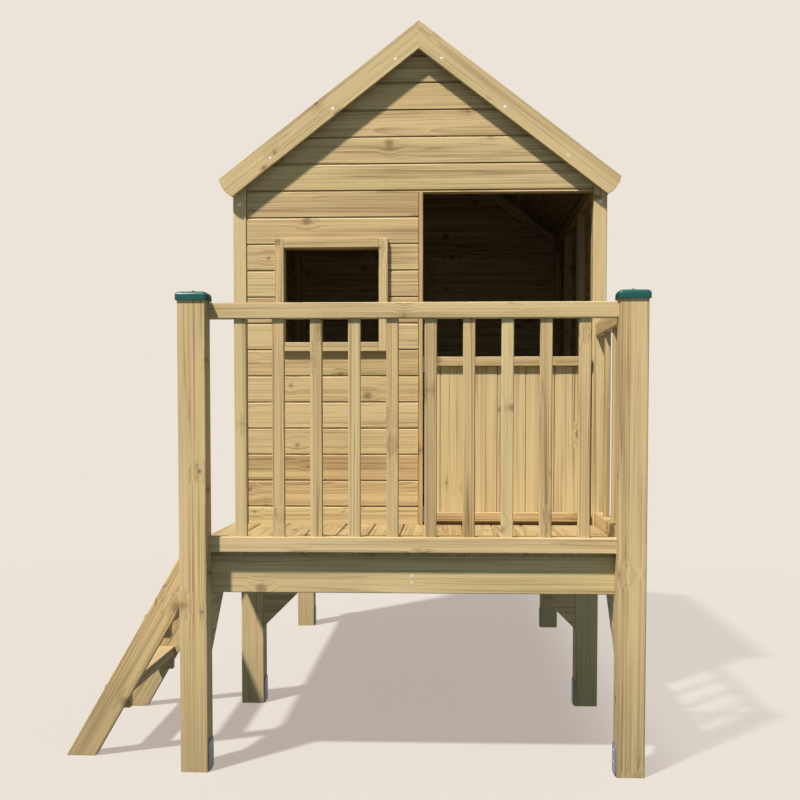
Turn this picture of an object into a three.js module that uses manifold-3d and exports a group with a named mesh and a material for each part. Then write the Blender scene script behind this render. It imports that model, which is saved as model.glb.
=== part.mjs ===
// Stilt playhouse in pressure-treated pine: a house of shiplap panels and its railed porch on six
// posts, with a side ladder and a half door. Millimetres, +Z up, front towards -Y.
// Places are written about the house's centre plane (x = 0), the front posts' face (y = 0) and the
// ground (z = 0). The last lines move the whole part so that its origin is bottom centre.
import * as THREE from 'three';
import { mergeVertices } from 'three/addons/utils/BufferGeometryUtils.js';
import Module from 'manifold-3d';

// Timber sections
const postSide = 70;
const beamDepth = 96;
const beamThickness = 28;
const railHeight = 40;
const railThickness = 32;
const balusterWidth = 31;
const balusterThickness = 16;
const battenWidth = 38;
const battenThickness = 28;
const trimThickness = 15;
const arris = 2;

// Deck
const deckHeight = 568;
const deckLength = 2270;
const deckBoardCount = 13;
const deckBoardWidth = 90;
const deckBoardThickness = 20;
const deckEdgeInset = 0.5;
const deckJointWidth = 4;
const deckJointDepth = 4;

// Balustrade, with heights taken from the deck
const railTopRise = 623;
const bottomRailDrop = 9;
const postAboveRail = 22;
const frontBalusterCount = 10;
const sideBalusterCount = 3;

// House, with heights taken from the deck
const porchDepth = 713;
const middlePostSetBack = 3;
const houseSideInset = 10;
const houseRearInset = 7;
const cladding = 12;
const boardShow = 81.25;
const firstBoardShow = 58;
const grooveHeight = 5;
const grooveDepth = 5;
const cornerTrimWidth = 41;
const wallTopMargin = 7.3;
const sideBayCount = 3;

// Roof
const roofPitch = THREE.MathUtils.degToRad(37.5);
const eavesOverhang = 37;
const roofThickness = 16;
const roofBoardCount = 8;
const roofGrooveHeight = 5;
const bargeClearance = 6;
const bargeWidth = 65;
const bargeThickness = 19;
const bargeNoseRise = 9;

// Doorway and half door
const doorwayHeight = 1024;
const jambWidth = 13;
const doorHeight = 509;
const doorBottomGap = 11;
const doorSideGap = 5;
const firstDoorBoard = 49;
const doorBoardPitch = 88;
const doorJointWidth = 4;
const doorJointDepth = 3;
const ledgeHeight = 29;

// Hinges
const hingeHeight = 48;
const knuckleCount = 3;
const knuckleRadius = 3.5;
const knuckleStandOff = 0.5;
const knuckleGap = 0.4;
const pinRadius = 1.6;
const pinClearance = 0.4;
const leafThickness = 1.5;
const leafGap = 2.4;
const leafMargin = 1;

// Window
const windowCentreX = -270;
const windowCentreRise = 710.5;
const windowOuterWidth = 350;
const windowOuterHeight = 346;
const windowBorder = 28;

// Braces
const sideBraceReach = 200;
const sideBraceDrop = 150;
const middleBraceReach = 210;
const middleBraceDrop = 210;

// Ladder
const ladderAngle = THREE.MathUtils.degToRad(60);
const stringerWidth = 68;
const stringerThickness = 28;
const stringerTopDrop = 7;
const ladderPostGap = 77;
const ladderHouseGap = 27;
const treadCount = 2;
const treadWidth = 70;
const treadThickness = 28;
const treadNose = 13;
const cleatLength = 56;
const cleatHeight = 38;
const cleatThickness = 28;

// Post caps
const capWall = 2.7;
const capHeight = 22;
const capTop = 4;
const capCorner = 6;
const capShoulder = 5;
const capCrown = 2.5;
const capNubRadius = 4;
const capNubHeight = 1.5;
const shoulderInsetShare = 0.25;
const shoulderRiseShare = 0.6;
const crownShare = 0.5;

// Fits, cuts and facets
const seatGap = 0.3;
const overrun = 5;
const weldTolerance = 0.0005;
const knuckleSides = 16;
const nubSides = 12;
const cornerSteps = 3;
const noseSteps = 8;

// Places worked out from the sizes
const deckHalf = (deckBoardCount * deckBoardWidth) / 2;
const deckFront = postSide;
const deckRear = deckFront + deckLength;
const deckUnder = deckHeight - deckBoardThickness;
const postOuter = deckHalf + deckEdgeInset;
const postInner = postOuter - postSide;
const innerPostOuter = postOuter - beamThickness;
const innerPostInner = innerPostOuter - postSide;
const beamBottom = deckUnder - beamDepth;
const wallFront = deckFront + porchDepth;
const wallRear = deckRear - houseRearInset;
const middlePostFront = wallFront + middlePostSetBack;
const rearPostFront = deckRear - postSide;
const beamSetBack = (postSide - beamThickness) / 2;
const railTop = deckHeight + railTopRise;
const frontPostTop = railTop + postAboveRail;
const railFront = postSide - railThickness;
const houseHalf = deckHalf - houseSideInset;
const frameHalf = houseHalf - cladding;
const frameFront = wallFront + cladding;
const frameFrontInside = frameFront + battenThickness;
const frameRear = wallRear - cladding;
const frameRearInside = frameRear - battenThickness;
const trimFront = wallFront - trimThickness;
const cornerTrimFront = frameFront - trimThickness;
const cornerTrimRear = frameRear + trimThickness;
const doorwayHead = deckHeight + doorwayHeight;
const frameHead = doorwayHead + battenWidth;
const sideWallTop = frameHead + wallTopMargin;
const slope = Math.tan(roofPitch);
const roofDrop = roofThickness / Math.cos(roofPitch);
const ridgeUnder = sideWallTop + seatGap + slope * houseHalf;
const ridgeHeight = ridgeUnder + roofDrop;
const eavesHalfSpan = houseHalf + eavesOverhang;
const roofFront = trimFront - bargeClearance;
const roofRear = wallRear + trimThickness + bargeClearance;
const doorwayRight = houseHalf - cornerTrimWidth;
const doorLeft = jambWidth + 2 * leafThickness + leafGap;
const doorRight = doorwayRight - doorSideGap;
const doorBottom = deckHeight + doorBottomGap;
const doorTop = doorBottom + doorHeight;
const pinX = (jambWidth + doorLeft) / 2;
const pinY = trimFront - knuckleStandOff - knuckleRadius;
const windowLeft = windowCentreX - windowOuterWidth / 2;
const windowRight = windowCentreX + windowOuterWidth / 2;
const windowBottom = deckHeight + windowCentreRise - windowOuterHeight / 2;
const windowTop = windowBottom + windowOuterHeight;

const finishes = {
  pine: { color: 0xcdb483, roughness: 0.72, metalness: 0 },
  shadedPine: { color: 0xbda472, roughness: 0.78, metalness: 0 },
  greenPlastic: { color: 0x14584c, roughness: 0.3, metalness: 0 },
  zincSteel: { color: 0xa9adb0, roughness: 0.4, metalness: 1 },
};
const sides = [['left', -1], ['right', 1]];
const wasm = await Module();
wasm.setup();
const part = new THREE.Group();

function addPiece(name, geometry, finish) {
  const mesh = new THREE.Mesh(geometry, new THREE.MeshStandardMaterial(finishes[finish]));
  mesh.name = name;
  part.add(mesh);
  return mesh;
}

// A closed mesh as a solid that can be joined and cut
function solidOf(geometry) {
  const bare = geometry.clone();
  bare.deleteAttribute('normal');
  bare.deleteAttribute('uv');
  const merged = mergeVertices(bare, weldTolerance);
  const mesh = new wasm.Mesh({
    numProp: 3,
    vertProperties: new Float32Array(merged.attributes.position.array),
    triVerts: new Uint32Array(merged.index.array),
  });
  return new wasm.Manifold(mesh);
}

function geometryOf(solid) {
  const mesh = solid.getMesh();
  const geometry = new THREE.BufferGeometry();
  geometry.setAttribute('position', new THREE.BufferAttribute(new Float32Array(mesh.vertProperties), 3));
  geometry.setIndex(new THREE.BufferAttribute(new Uint32Array(mesh.triVerts), 1));
  geometry.computeVertexNormals();
  return geometry;
}

const joined = (geometries) => geometries.map(solidOf).reduce((whole, piece) => whole.add(piece));

// The two ends of a span measured outwards from the centre plane, on the left or the right
const spanOnSide = (sign, near, far) => (sign > 0 ? [near, far] : [-far, -near]);

// A square-edged block between two corners
function block(low, high) {
  const size = high.map((value, axis) => value - low[axis]);
  const geometry = new THREE.BoxGeometry(...size);
  return geometry.translate(...low.map((value, axis) => value + size[axis] / 2));
}

function extruded(outline, depth) {
  const shape = new THREE.Shape(outline.map(([a, b]) => new THREE.Vector2(a, b)));
  return new THREE.ExtrudeGeometry(shape, { depth, bevelEnabled: false });
}

// An outline in (x, z) carried along y
function plateAlongY(outline, yFront, yRear) {
  return extruded(outline, yRear - yFront).rotateX(Math.PI / 2).translate(0, yRear, 0);
}

// An outline in (y, z) carried along x
function plateAlongX(outline, xLow, xHigh) {
  const plate = extruded(outline, xHigh - xLow);
  return plate.rotateX(Math.PI / 2).rotateZ(Math.PI / 2).translate(xLow, 0, 0);
}

// A planed timber between two corners that runs along one axis, with its four long edges eased
function timber(low, high, along) {
  const [u, v] = [0, 1, 2].filter((axis) => axis !== along);
  const width = high[u] - low[u];
  const height = high[v] - low[v];
  const section = [
    [arris, 0], [width - arris, 0], [width, arris], [width, height - arris],
    [width - arris, height], [arris, height], [0, height - arris], [0, arris],
  ];
  const turnsBack = along === 1;
  const unit = (axis, sign) => new THREE.Vector3().setComponent(axis, sign);
  const turn = new THREE.Matrix4().makeBasis(unit(u, 1), unit(v, 1), unit(along, turnsBack ? -1 : 1));
  const start = turnsBack ? [low[0], high[1], low[2]] : low;
  return extruded(section, high[along] - low[along]).applyMatrix4(turn).translate(...start);
}

// Posts: the front pair runs up past the deck to carry the rails
function buildPosts() {
  for (const [side, sign] of sides) {
    const [frontLow, frontHigh] = spanOnSide(sign, postInner, postOuter);
    addPiece(`post_front_${side}`, timber([frontLow, 0, 0], [frontHigh, postSide, frontPostTop], 2), 'pine');
    const [low, high] = spanOnSide(sign, innerPostInner, innerPostOuter);
    for (const [row, front] of [['middle', middlePostFront], ['rear', rearPostFront]]) {
      const post = timber([low, front, 0], [high, front + postSide, deckUnder], 2);
      addPiece(`post_${row}_${side}`, post, 'shadedPine');
    }
  }
}

// One level ring of points round a square with rounded corners
function squareRing(half, height) {
  const points = [];
  const centre = half - capCorner;
  const corners = [[centre, centre], [-centre, centre], [-centre, -centre], [centre, -centre]];
  corners.forEach(([x, y], quarter) => {
    for (let step = 0; step <= cornerSteps; step += 1) {
      const angle = (quarter + step / cornerSteps) * (Math.PI / 2);
      points.push([x + capCorner * Math.cos(angle), y + capCorner * Math.sin(angle), height]);
    }
  });
  return points;
}

// A closed skin through rings of equal point counts, with a fan over the first and the last
function loft(rings) {
  const count = rings[0].length;
  const index = [];
  for (let ring = 0; ring + 1 < rings.length; ring += 1) {
    for (let step = 0; step < count; step += 1) {
      const a = ring * count + step;
      const b = ring * count + ((step + 1) % count);
      index.push(a, b, a + count, b, b + count, a + count);
    }
  }
  const last = (rings.length - 1) * count;
  for (let step = 1; step + 1 < count; step += 1) {
    index.push(0, step + 1, step, last, last + step, last + step + 1);
  }
  const geometry = new THREE.BufferGeometry();
  geometry.setAttribute('position', new THREE.Float32BufferAttribute(rings.flat(2), 3));
  geometry.setIndex(index);
  return geometry;
}

// Moulded post caps: a skirt with rounded corners and shoulders, a low crown and the gate nub
function buildCaps() {
  const inner = postSide / 2 + seatGap;
  const outer = inner + capWall;
  const shoulderStart = capHeight - capShoulder;
  const shoulderMiddle = shoulderStart + capShoulder * shoulderRiseShare;
  const shell = loft([
    squareRing(outer, 0),
    squareRing(outer, shoulderStart),
    squareRing(outer - capShoulder * shoulderInsetShare, shoulderMiddle),
    squareRing(outer - capShoulder, capHeight),
    squareRing(outer * crownShare, capHeight + capCrown),
  ]);
  const hollow = block([-inner, -inner, -overrun], [inner, inner, capHeight - capTop]);
  const nub = new THREE.CylinderGeometry(capNubRadius, capNubRadius, 2 * capNubHeight, nubSides);
  nub.rotateX(Math.PI / 2).translate(0, 0, capHeight + capCrown);
  const cap = geometryOf(solidOf(shell).subtract(solidOf(hollow)).add(solidOf(nub)));
  for (const [side, sign] of sides) {
    const placed = addPiece(`cap_${side}`, cap, 'greenPlastic');
    placed.position.set(sign * (postInner + postSide / 2), postSide / 2, frontPostTop + capTop - capHeight);
  }
}

// Beams across the posts, and joists from front to back
function buildBearers() {
  const joistFront = deckFront + beamThickness;
  const frontBeam = timber([-postOuter, deckFront, beamBottom], [postOuter, joistFront, deckUnder], 0);
  addPiece('beam_front', frontBeam, 'pine');
  for (const [row, front] of [['middle', middlePostFront], ['rear', rearPostFront]]) {
    const low = [-innerPostInner, front + beamSetBack, beamBottom];
    const high = [innerPostInner, front + beamSetBack + beamThickness, deckUnder];
    addPiece(`beam_${row}`, timber(low, high, 0), 'shadedPine');
  }
  for (const [side, sign] of sides) {
    const [low, high] = spanOnSide(sign, innerPostOuter, postOuter);
    const joist = timber([low, joistFront, beamBottom], [high, deckRear, deckUnder], 1);
    addPiece(`joist_${side}`, joist, 'shadedPine');
  }
  const centreLow = [-beamThickness / 2, joistFront, beamBottom];
  const centreHigh = [beamThickness / 2, middlePostFront + beamSetBack, deckUnder];
  addPiece('joist_centre', timber(centreLow, centreHigh, 1), 'shadedPine');
}

// Triangular braces, as deep as the posts: behind the front posts and inside the middle posts
function buildBraces() {
  for (const [side, sign] of sides) {
    const [low, high] = spanOnSide(sign, postInner, postOuter);
    const behindPost = [
      [deckFront, beamBottom - sideBraceDrop],
      [deckFront + sideBraceReach, beamBottom],
      [deckFront, beamBottom],
    ];
    addPiece(`brace_side_${side}`, plateAlongX(behindPost, low, high), 'shadedPine');
    const besidePost = [
      [sign * innerPostInner, beamBottom - middleBraceDrop],
      [sign * innerPostInner, beamBottom],
      [sign * (innerPostInner - middleBraceReach), beamBottom],
    ];
    const brace = plateAlongY(besidePost, middlePostFront, middlePostFront + postSide);
    addPiece(`brace_middle_${side}`, brace, 'shadedPine');
  }
}

// Deck boards side by side, front to back, with a V at each joint
function buildDeck() {
  const outline = [
    [deckHalf, deckHeight], [deckHalf, deckUnder], [-deckHalf, deckUnder], [-deckHalf, deckHeight],
  ];
  for (let joint = 1; joint < deckBoardCount; joint += 1) {
    const x = -deckHalf + joint * deckBoardWidth;
    outline.push([x - deckJointWidth / 2, deckHeight]);
    outline.push([x, deckHeight - deckJointDepth]);
    outline.push([x + deckJointWidth / 2, deckHeight]);
  }
  addPiece('deck_boards', plateAlongY(outline, deckFront, deckRear), 'pine');
}

// Starts of evenly spaced bars between two ends
function evenStarts(from, to, count, width) {
  const gap = (to - from - count * width) / (count + 1);
  return Array.from({ length: count }, (unused, index) => from + gap + index * (width + gap));
}

// Front balustrade: balusters stand between two rails that run from post to post
function buildFrontBalustrade() {
  const bottomRailTop = deckHeight - bottomRailDrop + railHeight;
  for (const [name, top] of [['rail_front_top', railTop], ['rail_front_bottom', bottomRailTop]]) {
    const low = [-postInner, railFront, top - railHeight];
    addPiece(name, timber(low, [postInner, postSide, top], 0), 'pine');
  }
  const front = railFront + (railThickness - balusterThickness) / 2;
  evenStarts(-postInner, postInner, frontBalusterCount, balusterWidth).forEach((start, index) => {
    const low = [start, front, bottomRailTop];
    const high = [start + balusterWidth, front + balusterThickness, railTop - railHeight];
    addPiece(`baluster_front_${index + 1}`, timber(low, high, 2), 'pine');
  });
}

// Right side balustrade, from the front post back to the house's corner
function buildSideBalustrade() {
  const bottomRailTop = deckHeight + railHeight;
  for (const [name, top] of [['rail_side_top', railTop], ['rail_side_bottom', bottomRailTop]]) {
    const low = [houseHalf - railThickness, postSide, top - railHeight];
    addPiece(name, timber(low, [houseHalf, cornerTrimFront, top], 1), 'pine');
  }
  const inner = houseHalf - (railThickness + balusterThickness) / 2;
  evenStarts(postSide, cornerTrimFront, sideBalusterCount, balusterWidth).forEach((start, index) => {
    const low = [inner, start, bottomRailTop];
    const high = [inner + balusterThickness, start + balusterWidth, railTop - railHeight];
    addPiece(`baluster_side_${index + 1}`, timber(low, high, 2), 'pine');
  });
}

// Section of a tread in (x, z): a half round nose in front and a square edge behind
function treadOutline(nose, level) {
  const radius = treadThickness / 2;
  const outline = [[nose + treadWidth, level - treadThickness], [nose + treadWidth, level]];
  for (let step = 0; step <= noseSteps; step += 1) {
    const angle = Math.PI * (0.5 + step / noseSteps);
    outline.push([nose + radius * (1 + Math.cos(angle)), level - radius * (1 - Math.sin(angle))]);
  }
  return outline;
}

// Ladder: two raked stringers, cut level at foot and top and plumb against the joist, with cleats
// inside them that carry the treads
function buildLadder() {
  const runPerRise = 1 / Math.tan(ladderAngle);
  const rearFoot = -postOuter - beamBottom * runPerRise;
  const frontFoot = rearFoot - stringerWidth / Math.sin(ladderAngle);
  const top = deckHeight - stringerTopDrop;
  const outline = [
    [frontFoot, 0],
    [rearFoot, 0],
    [-postOuter, beamBottom],
    [-postOuter, top],
    [frontFoot + top * runPerRise, top],
  ];
  const treads = Array.from({ length: treadCount }, (unused, index) => {
    const level = (deckHeight * (index + 1)) / (treadCount + 1);
    return { level, nose: frontFoot + level * runPerRise - treadNose };
  });
  const frontStringer = postSide + ladderPostGap;
  const rearStringer = wallFront - ladderHouseGap - stringerThickness;
  const treadFront = frontStringer + stringerThickness;
  const stringers = [
    ['front', frontStringer, treadFront - seatGap, treadFront + cleatThickness],
    ['rear', rearStringer, rearStringer - cleatThickness, rearStringer + seatGap],
  ];
  for (const [name, front, cleatFront, cleatRear] of stringers) {
    const cleats = treads.map(({ level, nose }) => block(
      [nose + treadWidth - cleatLength, cleatFront, level - treadThickness - cleatHeight],
      [nose + treadWidth, cleatRear, level - treadThickness],
    ));
    const stringer = joined([plateAlongY(outline, front, front + stringerThickness), ...cleats]);
    addPiece(`stringer_${name}`, geometryOf(stringer), 'pine');
  }
  treads.forEach(({ level, nose }, index) => {
    const tread = plateAlongY(treadOutline(nose, level), treadFront, rearStringer);
    addPiece(`tread_${index + 1}`, tread, 'pine');
  });
}

// Section of shiplap from the deck up, as [distance out from the frame, height]: each board ends
// in a sloping rebate under the lip of the next
function shiplapSection(top) {
  const section = [[0, deckHeight], [cladding, deckHeight]];
  for (let joint = deckHeight + firstBoardShow; joint < top; joint += boardShow) {
    section.push([cladding, joint - grooveHeight]);
    section.push([cladding - grooveDepth, joint]);
    section.push([cladding, joint]);
  }
  section.push([cladding, top], [0, top]);
  return section;
}

const roofUnderAt = (x) => ridgeUnder - slope * Math.abs(x);

// Everything from the seat of the roof upwards, which the gable walls are cut to
function aboveRoofSeat(yFront, yRear) {
  const eavesSeat = roofUnderAt(eavesHalfSpan) - seatGap;
  const outline = [
    [-eavesHalfSpan, eavesSeat],
    [0, ridgeUnder - seatGap],
    [eavesHalfSpan, eavesSeat],
    [eavesHalfSpan, ridgeHeight + overrun],
    [-eavesHalfSpan, ridgeHeight + overrun],
  ];
  return solidOf(plateAlongY(outline, yFront, yRear));
}

// Frame of a gable wall: sole and head battens, two raking battens under the roof, and studs
function gableFrame(yFront, yRear, studs) {
  const rakeDrop = battenWidth / Math.cos(roofPitch);
  const rakeFoot = roofUnderAt(frameHalf);
  const rake = [
    [0, ridgeUnder],
    [frameHalf, rakeFoot],
    [frameHalf, rakeFoot - rakeDrop],
    [0, ridgeUnder - rakeDrop],
    [-frameHalf, rakeFoot - rakeDrop],
    [-frameHalf, rakeFoot],
  ];
  const upright = ([low, high]) => block([low, yFront, deckHeight], [high, yRear, frameHead]);
  return [
    block([-frameHalf, yFront, deckHeight], [frameHalf, yRear, deckHeight + battenWidth]),
    block([-frameHalf, yFront, doorwayHead], [frameHalf, yRear, frameHead]),
    plateAlongY(rake, yFront, yRear),
    ...studs.map(upright),
  ];
}

// Front wall: shiplap on its frame, with the window opening, the doorway and its jamb board. The
// boards stop at the corner trims
function buildFrontWall() {
  const holeLeft = windowLeft + windowBorder;
  const holeRight = windowRight - windowBorder;
  const holeBottom = windowBottom + windowBorder;
  const holeTop = windowTop - windowBorder;
  const section = shiplapSection(ridgeHeight).map(([out, z]) => [frameFront - out, z]);
  const studs = [
    [-frameHalf, -frameHalf + battenWidth],
    [holeLeft - battenWidth, holeLeft],
    [holeRight, holeRight + battenWidth],
    [-battenWidth, 0],
    [doorwayRight, frameHalf],
  ];
  const frame = joined([
    ...gableFrame(frameFront, frameFrontInside, studs),
    block([holeLeft, frameFront, holeBottom - battenWidth], [holeRight, frameFrontInside, holeBottom]),
    block([holeLeft, frameFront, holeTop], [holeRight, frameFrontInside, holeTop + battenWidth]),
    block([0, trimFront, deckHeight], [jambWidth, frameFrontInside, doorwayHead]),
  ]);
  const windowHole = block(
    [holeLeft, wallFront - overrun, holeBottom], [holeRight, frameFrontInside + overrun, holeTop],
  );
  const doorway = block(
    [0, wallFront - overrun, deckHeight - overrun], [doorwayRight + overrun, frameFront, doorwayHead],
  );
  const wall = solidOf(plateAlongX(section, -doorwayRight, doorwayRight))
    .subtract(solidOf(doorway))
    .add(frame)
    .subtract(solidOf(windowHole))
    .subtract(aboveRoofSeat(trimFront - overrun, frameFrontInside + overrun));
  addPiece('wall_front', geometryOf(wall), 'pine');
}

// Rear wall: shiplap on its frame, with the two rear corner trims
function buildRearWall() {
  const section = shiplapSection(ridgeHeight).map(([out, z]) => [frameRear + out, z]);
  const studs = [
    [-frameHalf, -frameHalf + battenWidth],
    [-battenWidth / 2, battenWidth / 2],
    [frameHalf - battenWidth, frameHalf],
  ];
  const trims = sides.map(([, sign]) => {
    const [low, high] = spanOnSide(sign, doorwayRight, houseHalf);
    return block([low, frameRear, deckHeight], [high, cornerTrimRear, roofUnderAt(doorwayRight)]);
  });
  const wall = joined([
    plateAlongX(section, -houseHalf, houseHalf),
    ...gableFrame(frameRearInside, frameRear, studs),
    ...trims,
  ]).subtract(aboveRoofSeat(frameRearInside - overrun, cornerTrimRear + overrun));
  addPiece('wall_rear', geometryOf(wall), 'pine');
}

// Side walls: shiplap between the front and rear faces, its frame between their frames
function buildSideWalls() {
  for (const [side, sign] of sides) {
    const section = shiplapSection(sideWallTop).map(([out, z]) => [sign * (frameHalf + out), z]);
    const pieces = [plateAlongY(section, frameFront, frameRear)];
    const [low, high] = spanOnSide(sign, frameHalf - battenThickness, frameHalf);
    for (const bottom of [deckHeight, sideWallTop - battenWidth]) {
      pieces.push(block([low, frameFrontInside, bottom], [high, frameRearInside, bottom + battenWidth]));
    }
    for (let stud = 0; stud <= sideBayCount; stud += 1) {
      const run = frameRearInside - frameFrontInside - battenWidth;
      const start = frameFrontInside + (run * stud) / sideBayCount;
      pieces.push(block([low, start, deckHeight], [high, start + battenWidth, sideWallTop]));
    }
    addPiece(`wall_${side}`, geometryOf(joined(pieces)), 'pine');
  }
}

// Front corner trims, let in at the ends of the boards and cut to the roof, and the window surround on
// the face of the wall
function buildTrims() {
  const aboveTrims = aboveRoofSeat(cornerTrimFront - overrun, frameFront + overrun);
  for (const [side, sign] of sides) {
    const [low, high] = spanOnSide(sign, doorwayRight, houseHalf);
    const top = roofUnderAt(doorwayRight);
    const trim = solidOf(timber([low, cornerTrimFront, deckHeight], [high, frameFront, top], 2));
    addPiece(`corner_trim_${side}`, geometryOf(trim.subtract(aboveTrims)), 'pine');
  }
  const outer = block([windowLeft, trimFront, windowBottom], [windowRight, wallFront, windowTop]);
  const inner = block(
    [windowLeft + windowBorder, trimFront - overrun, windowBottom + windowBorder],
    [windowRight - windowBorder, wallFront + overrun, windowTop - windowBorder],
  );
  addPiece('window_surround', geometryOf(solidOf(outer).subtract(solidOf(inner))), 'pine');
}

// Roof slopes of lapped boards that run along the ridge, mitred plumb where they meet
function buildRoof() {
  const cos = Math.cos(roofPitch);
  const sin = Math.sin(roofPitch);
  const slopeLength = eavesHalfSpan / cos;
  const boardLength = slopeLength / roofBoardCount;
  const section = [[0, 0], [roofThickness, 0]];
  for (let joint = 1; joint < roofBoardCount; joint += 1) {
    section.push([roofThickness, joint * boardLength - roofGrooveHeight]);
    section.push([roofThickness - grooveDepth, joint * boardLength]);
    section.push([roofThickness, joint * boardLength]);
  }
  section.push([roofThickness, slopeLength], [0, slopeLength - roofThickness * slope]);
  for (const [side, sign] of sides) {
    const placed = section.map(([out, up]) => {
      const below = roofThickness - out;
      const x = eavesHalfSpan - up * cos - below * sin;
      return [sign * Math.max(x, 0), ridgeHeight - (slopeLength - up) * sin - below * cos];
    });
    addPiece(`roof_${side}`, plateAlongY(placed, roofFront, roofRear), 'pine');
  }
}

// Barge boards: mitred plumb at the ridge, with a rounded nose at the eaves
function buildBargeBoards() {
  const cos = Math.cos(roofPitch);
  const sin = Math.sin(roofPitch);
  const upperTip = new THREE.Vector2(eavesHalfSpan, ridgeHeight - eavesHalfSpan * slope);
  const lowerTip = new THREE.Vector2(upperTip.x - bargeWidth * sin, upperTip.y - bargeWidth * cos);
  const bulge = upperTip.clone().add(lowerTip).divideScalar(2);
  bulge.add(new THREE.Vector2(cos, -sin).multiplyScalar(2 * bargeNoseRise));
  const nose = new THREE.QuadraticBezierCurve(lowerTip, bulge, upperTip).getPoints(noseSteps);
  const outline = [[0, ridgeHeight], [0, ridgeHeight - bargeWidth / cos], ...nose.map(({ x, y }) => [x, y])];
  for (const [side, sign] of sides) {
    const placed = outline.map(([x, z]) => [sign * x, z]);
    addPiece(`barge_front_${side}`, plateAlongY(placed, roofFront - bargeThickness, roofFront), 'pine');
    addPiece(`barge_rear_${side}`, plateAlongY(placed, roofRear, roofRear + bargeThickness), 'pine');
  }
}

// Half door: upright V-jointed boards, with a ledge across the face at top and bottom
function buildDoor() {
  const outline = [
    [doorRight, wallFront], [doorRight, frameFront], [doorLeft, frameFront], [doorLeft, wallFront],
  ];
  for (let x = doorLeft + firstDoorBoard; x < doorRight - doorJointWidth; x += doorBoardPitch) {
    outline.push([x - doorJointWidth / 2, wallFront]);
    outline.push([x, wallFront + doorJointDepth]);
    outline.push([x + doorJointWidth / 2, wallFront]);
  }
  addPiece('door_boards', extruded(outline, doorHeight).translate(0, 0, doorBottom), 'pine');
  const ledges = [['door_ledge_bottom', doorBottom], ['door_ledge_top', doorTop - ledgeHeight]];
  for (const [name, bottom] of ledges) {
    const ledge = timber([doorLeft, trimFront, bottom], [doorRight, wallFront, bottom + ledgeHeight], 0);
    addPiece(name, ledge, 'pine');
  }
}

// A round bar on the hinge line
function barrel(radius, bottom, top) {
  const bar = new THREE.CylinderGeometry(radius, radius, top - bottom, knuckleSides);
  return solidOf(bar.rotateX(Math.PI / 2).translate(pinX, pinY, (bottom + top) / 2));
}

// The room that a leaf leaves free round the other leaf's knuckle
function knuckleRoom(bottom, top) {
  const reach = knuckleRadius + knuckleGap;
  return solidOf(block([pinX - reach, pinY - reach, bottom], [pinX + reach, pinY + reach, top]));
}

// Butt hinges: the jamb leaf has the outer knuckles and the pin, the door leaf the middle knuckle
function buildHinges() {
  const knuckleHeight = hingeHeight / knuckleCount;
  const leafRear = frameFront - leafMargin;
  for (const [place, bottom] of [['lower', doorBottom], ['upper', doorTop - hingeHeight]]) {
    const top = bottom + hingeHeight;
    const middleLow = bottom + knuckleHeight;
    const middleHigh = top - knuckleHeight;
    const jambPlate = block([jambWidth, pinY, bottom], [jambWidth + leafThickness, leafRear, top]);
    const jambLeaf = solidOf(jambPlate)
      .add(barrel(knuckleRadius, bottom, top))
      .subtract(knuckleRoom(middleLow, middleHigh))
      .add(barrel(pinRadius, bottom, top));
    addPiece(`hinge_${place}_jamb_leaf`, geometryOf(jambLeaf), 'zincSteel');
    const doorPlate = block([doorLeft - leafThickness, pinY, bottom], [doorLeft, leafRear, top]);
    const doorLeaf = solidOf(doorPlate)
      .add(barrel(knuckleRadius, middleLow, middleHigh))
      .subtract(knuckleRoom(bottom - overrun, middleLow + knuckleGap))
      .subtract(knuckleRoom(middleHigh - knuckleGap, top + overrun))
      .subtract(barrel(pinRadius + pinClearance, bottom - overrun, top + overrun));
    addPiece(`hinge_${place}_door_leaf`, geometryOf(doorLeaf), 'zincSteel');
  }
}

buildPosts();
buildCaps();
buildBearers();
buildBraces();
buildDeck();
buildFrontBalustrade();
buildSideBalustrade();
buildLadder();
buildFrontWall();
buildRearWall();
buildSideWalls();
buildTrims();
buildRoof();
buildBargeBoards();
buildDoor();
buildHinges();

// Bottom centre of the whole part becomes the origin
const extent = new THREE.Box3().setFromObject(part);
const middle = extent.getCenter(new THREE.Vector3());
part.position.set(-middle.x, -middle.y, -extent.min.z);
const playhouse = new THREE.Group();
playhouse.add(part);
playhouse.updateMatrixWorld(true);

export default playhouse;
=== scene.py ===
"""Looks of a stilt playhouse: a small house of pressure-treated pine with a railed porch, on six posts.

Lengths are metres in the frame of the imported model, +Z up, with the porch towards -Y. The file follows
the playhouse as it is put together, from the posts up to the roof, the half door and the screws.
"""
import math

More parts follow.
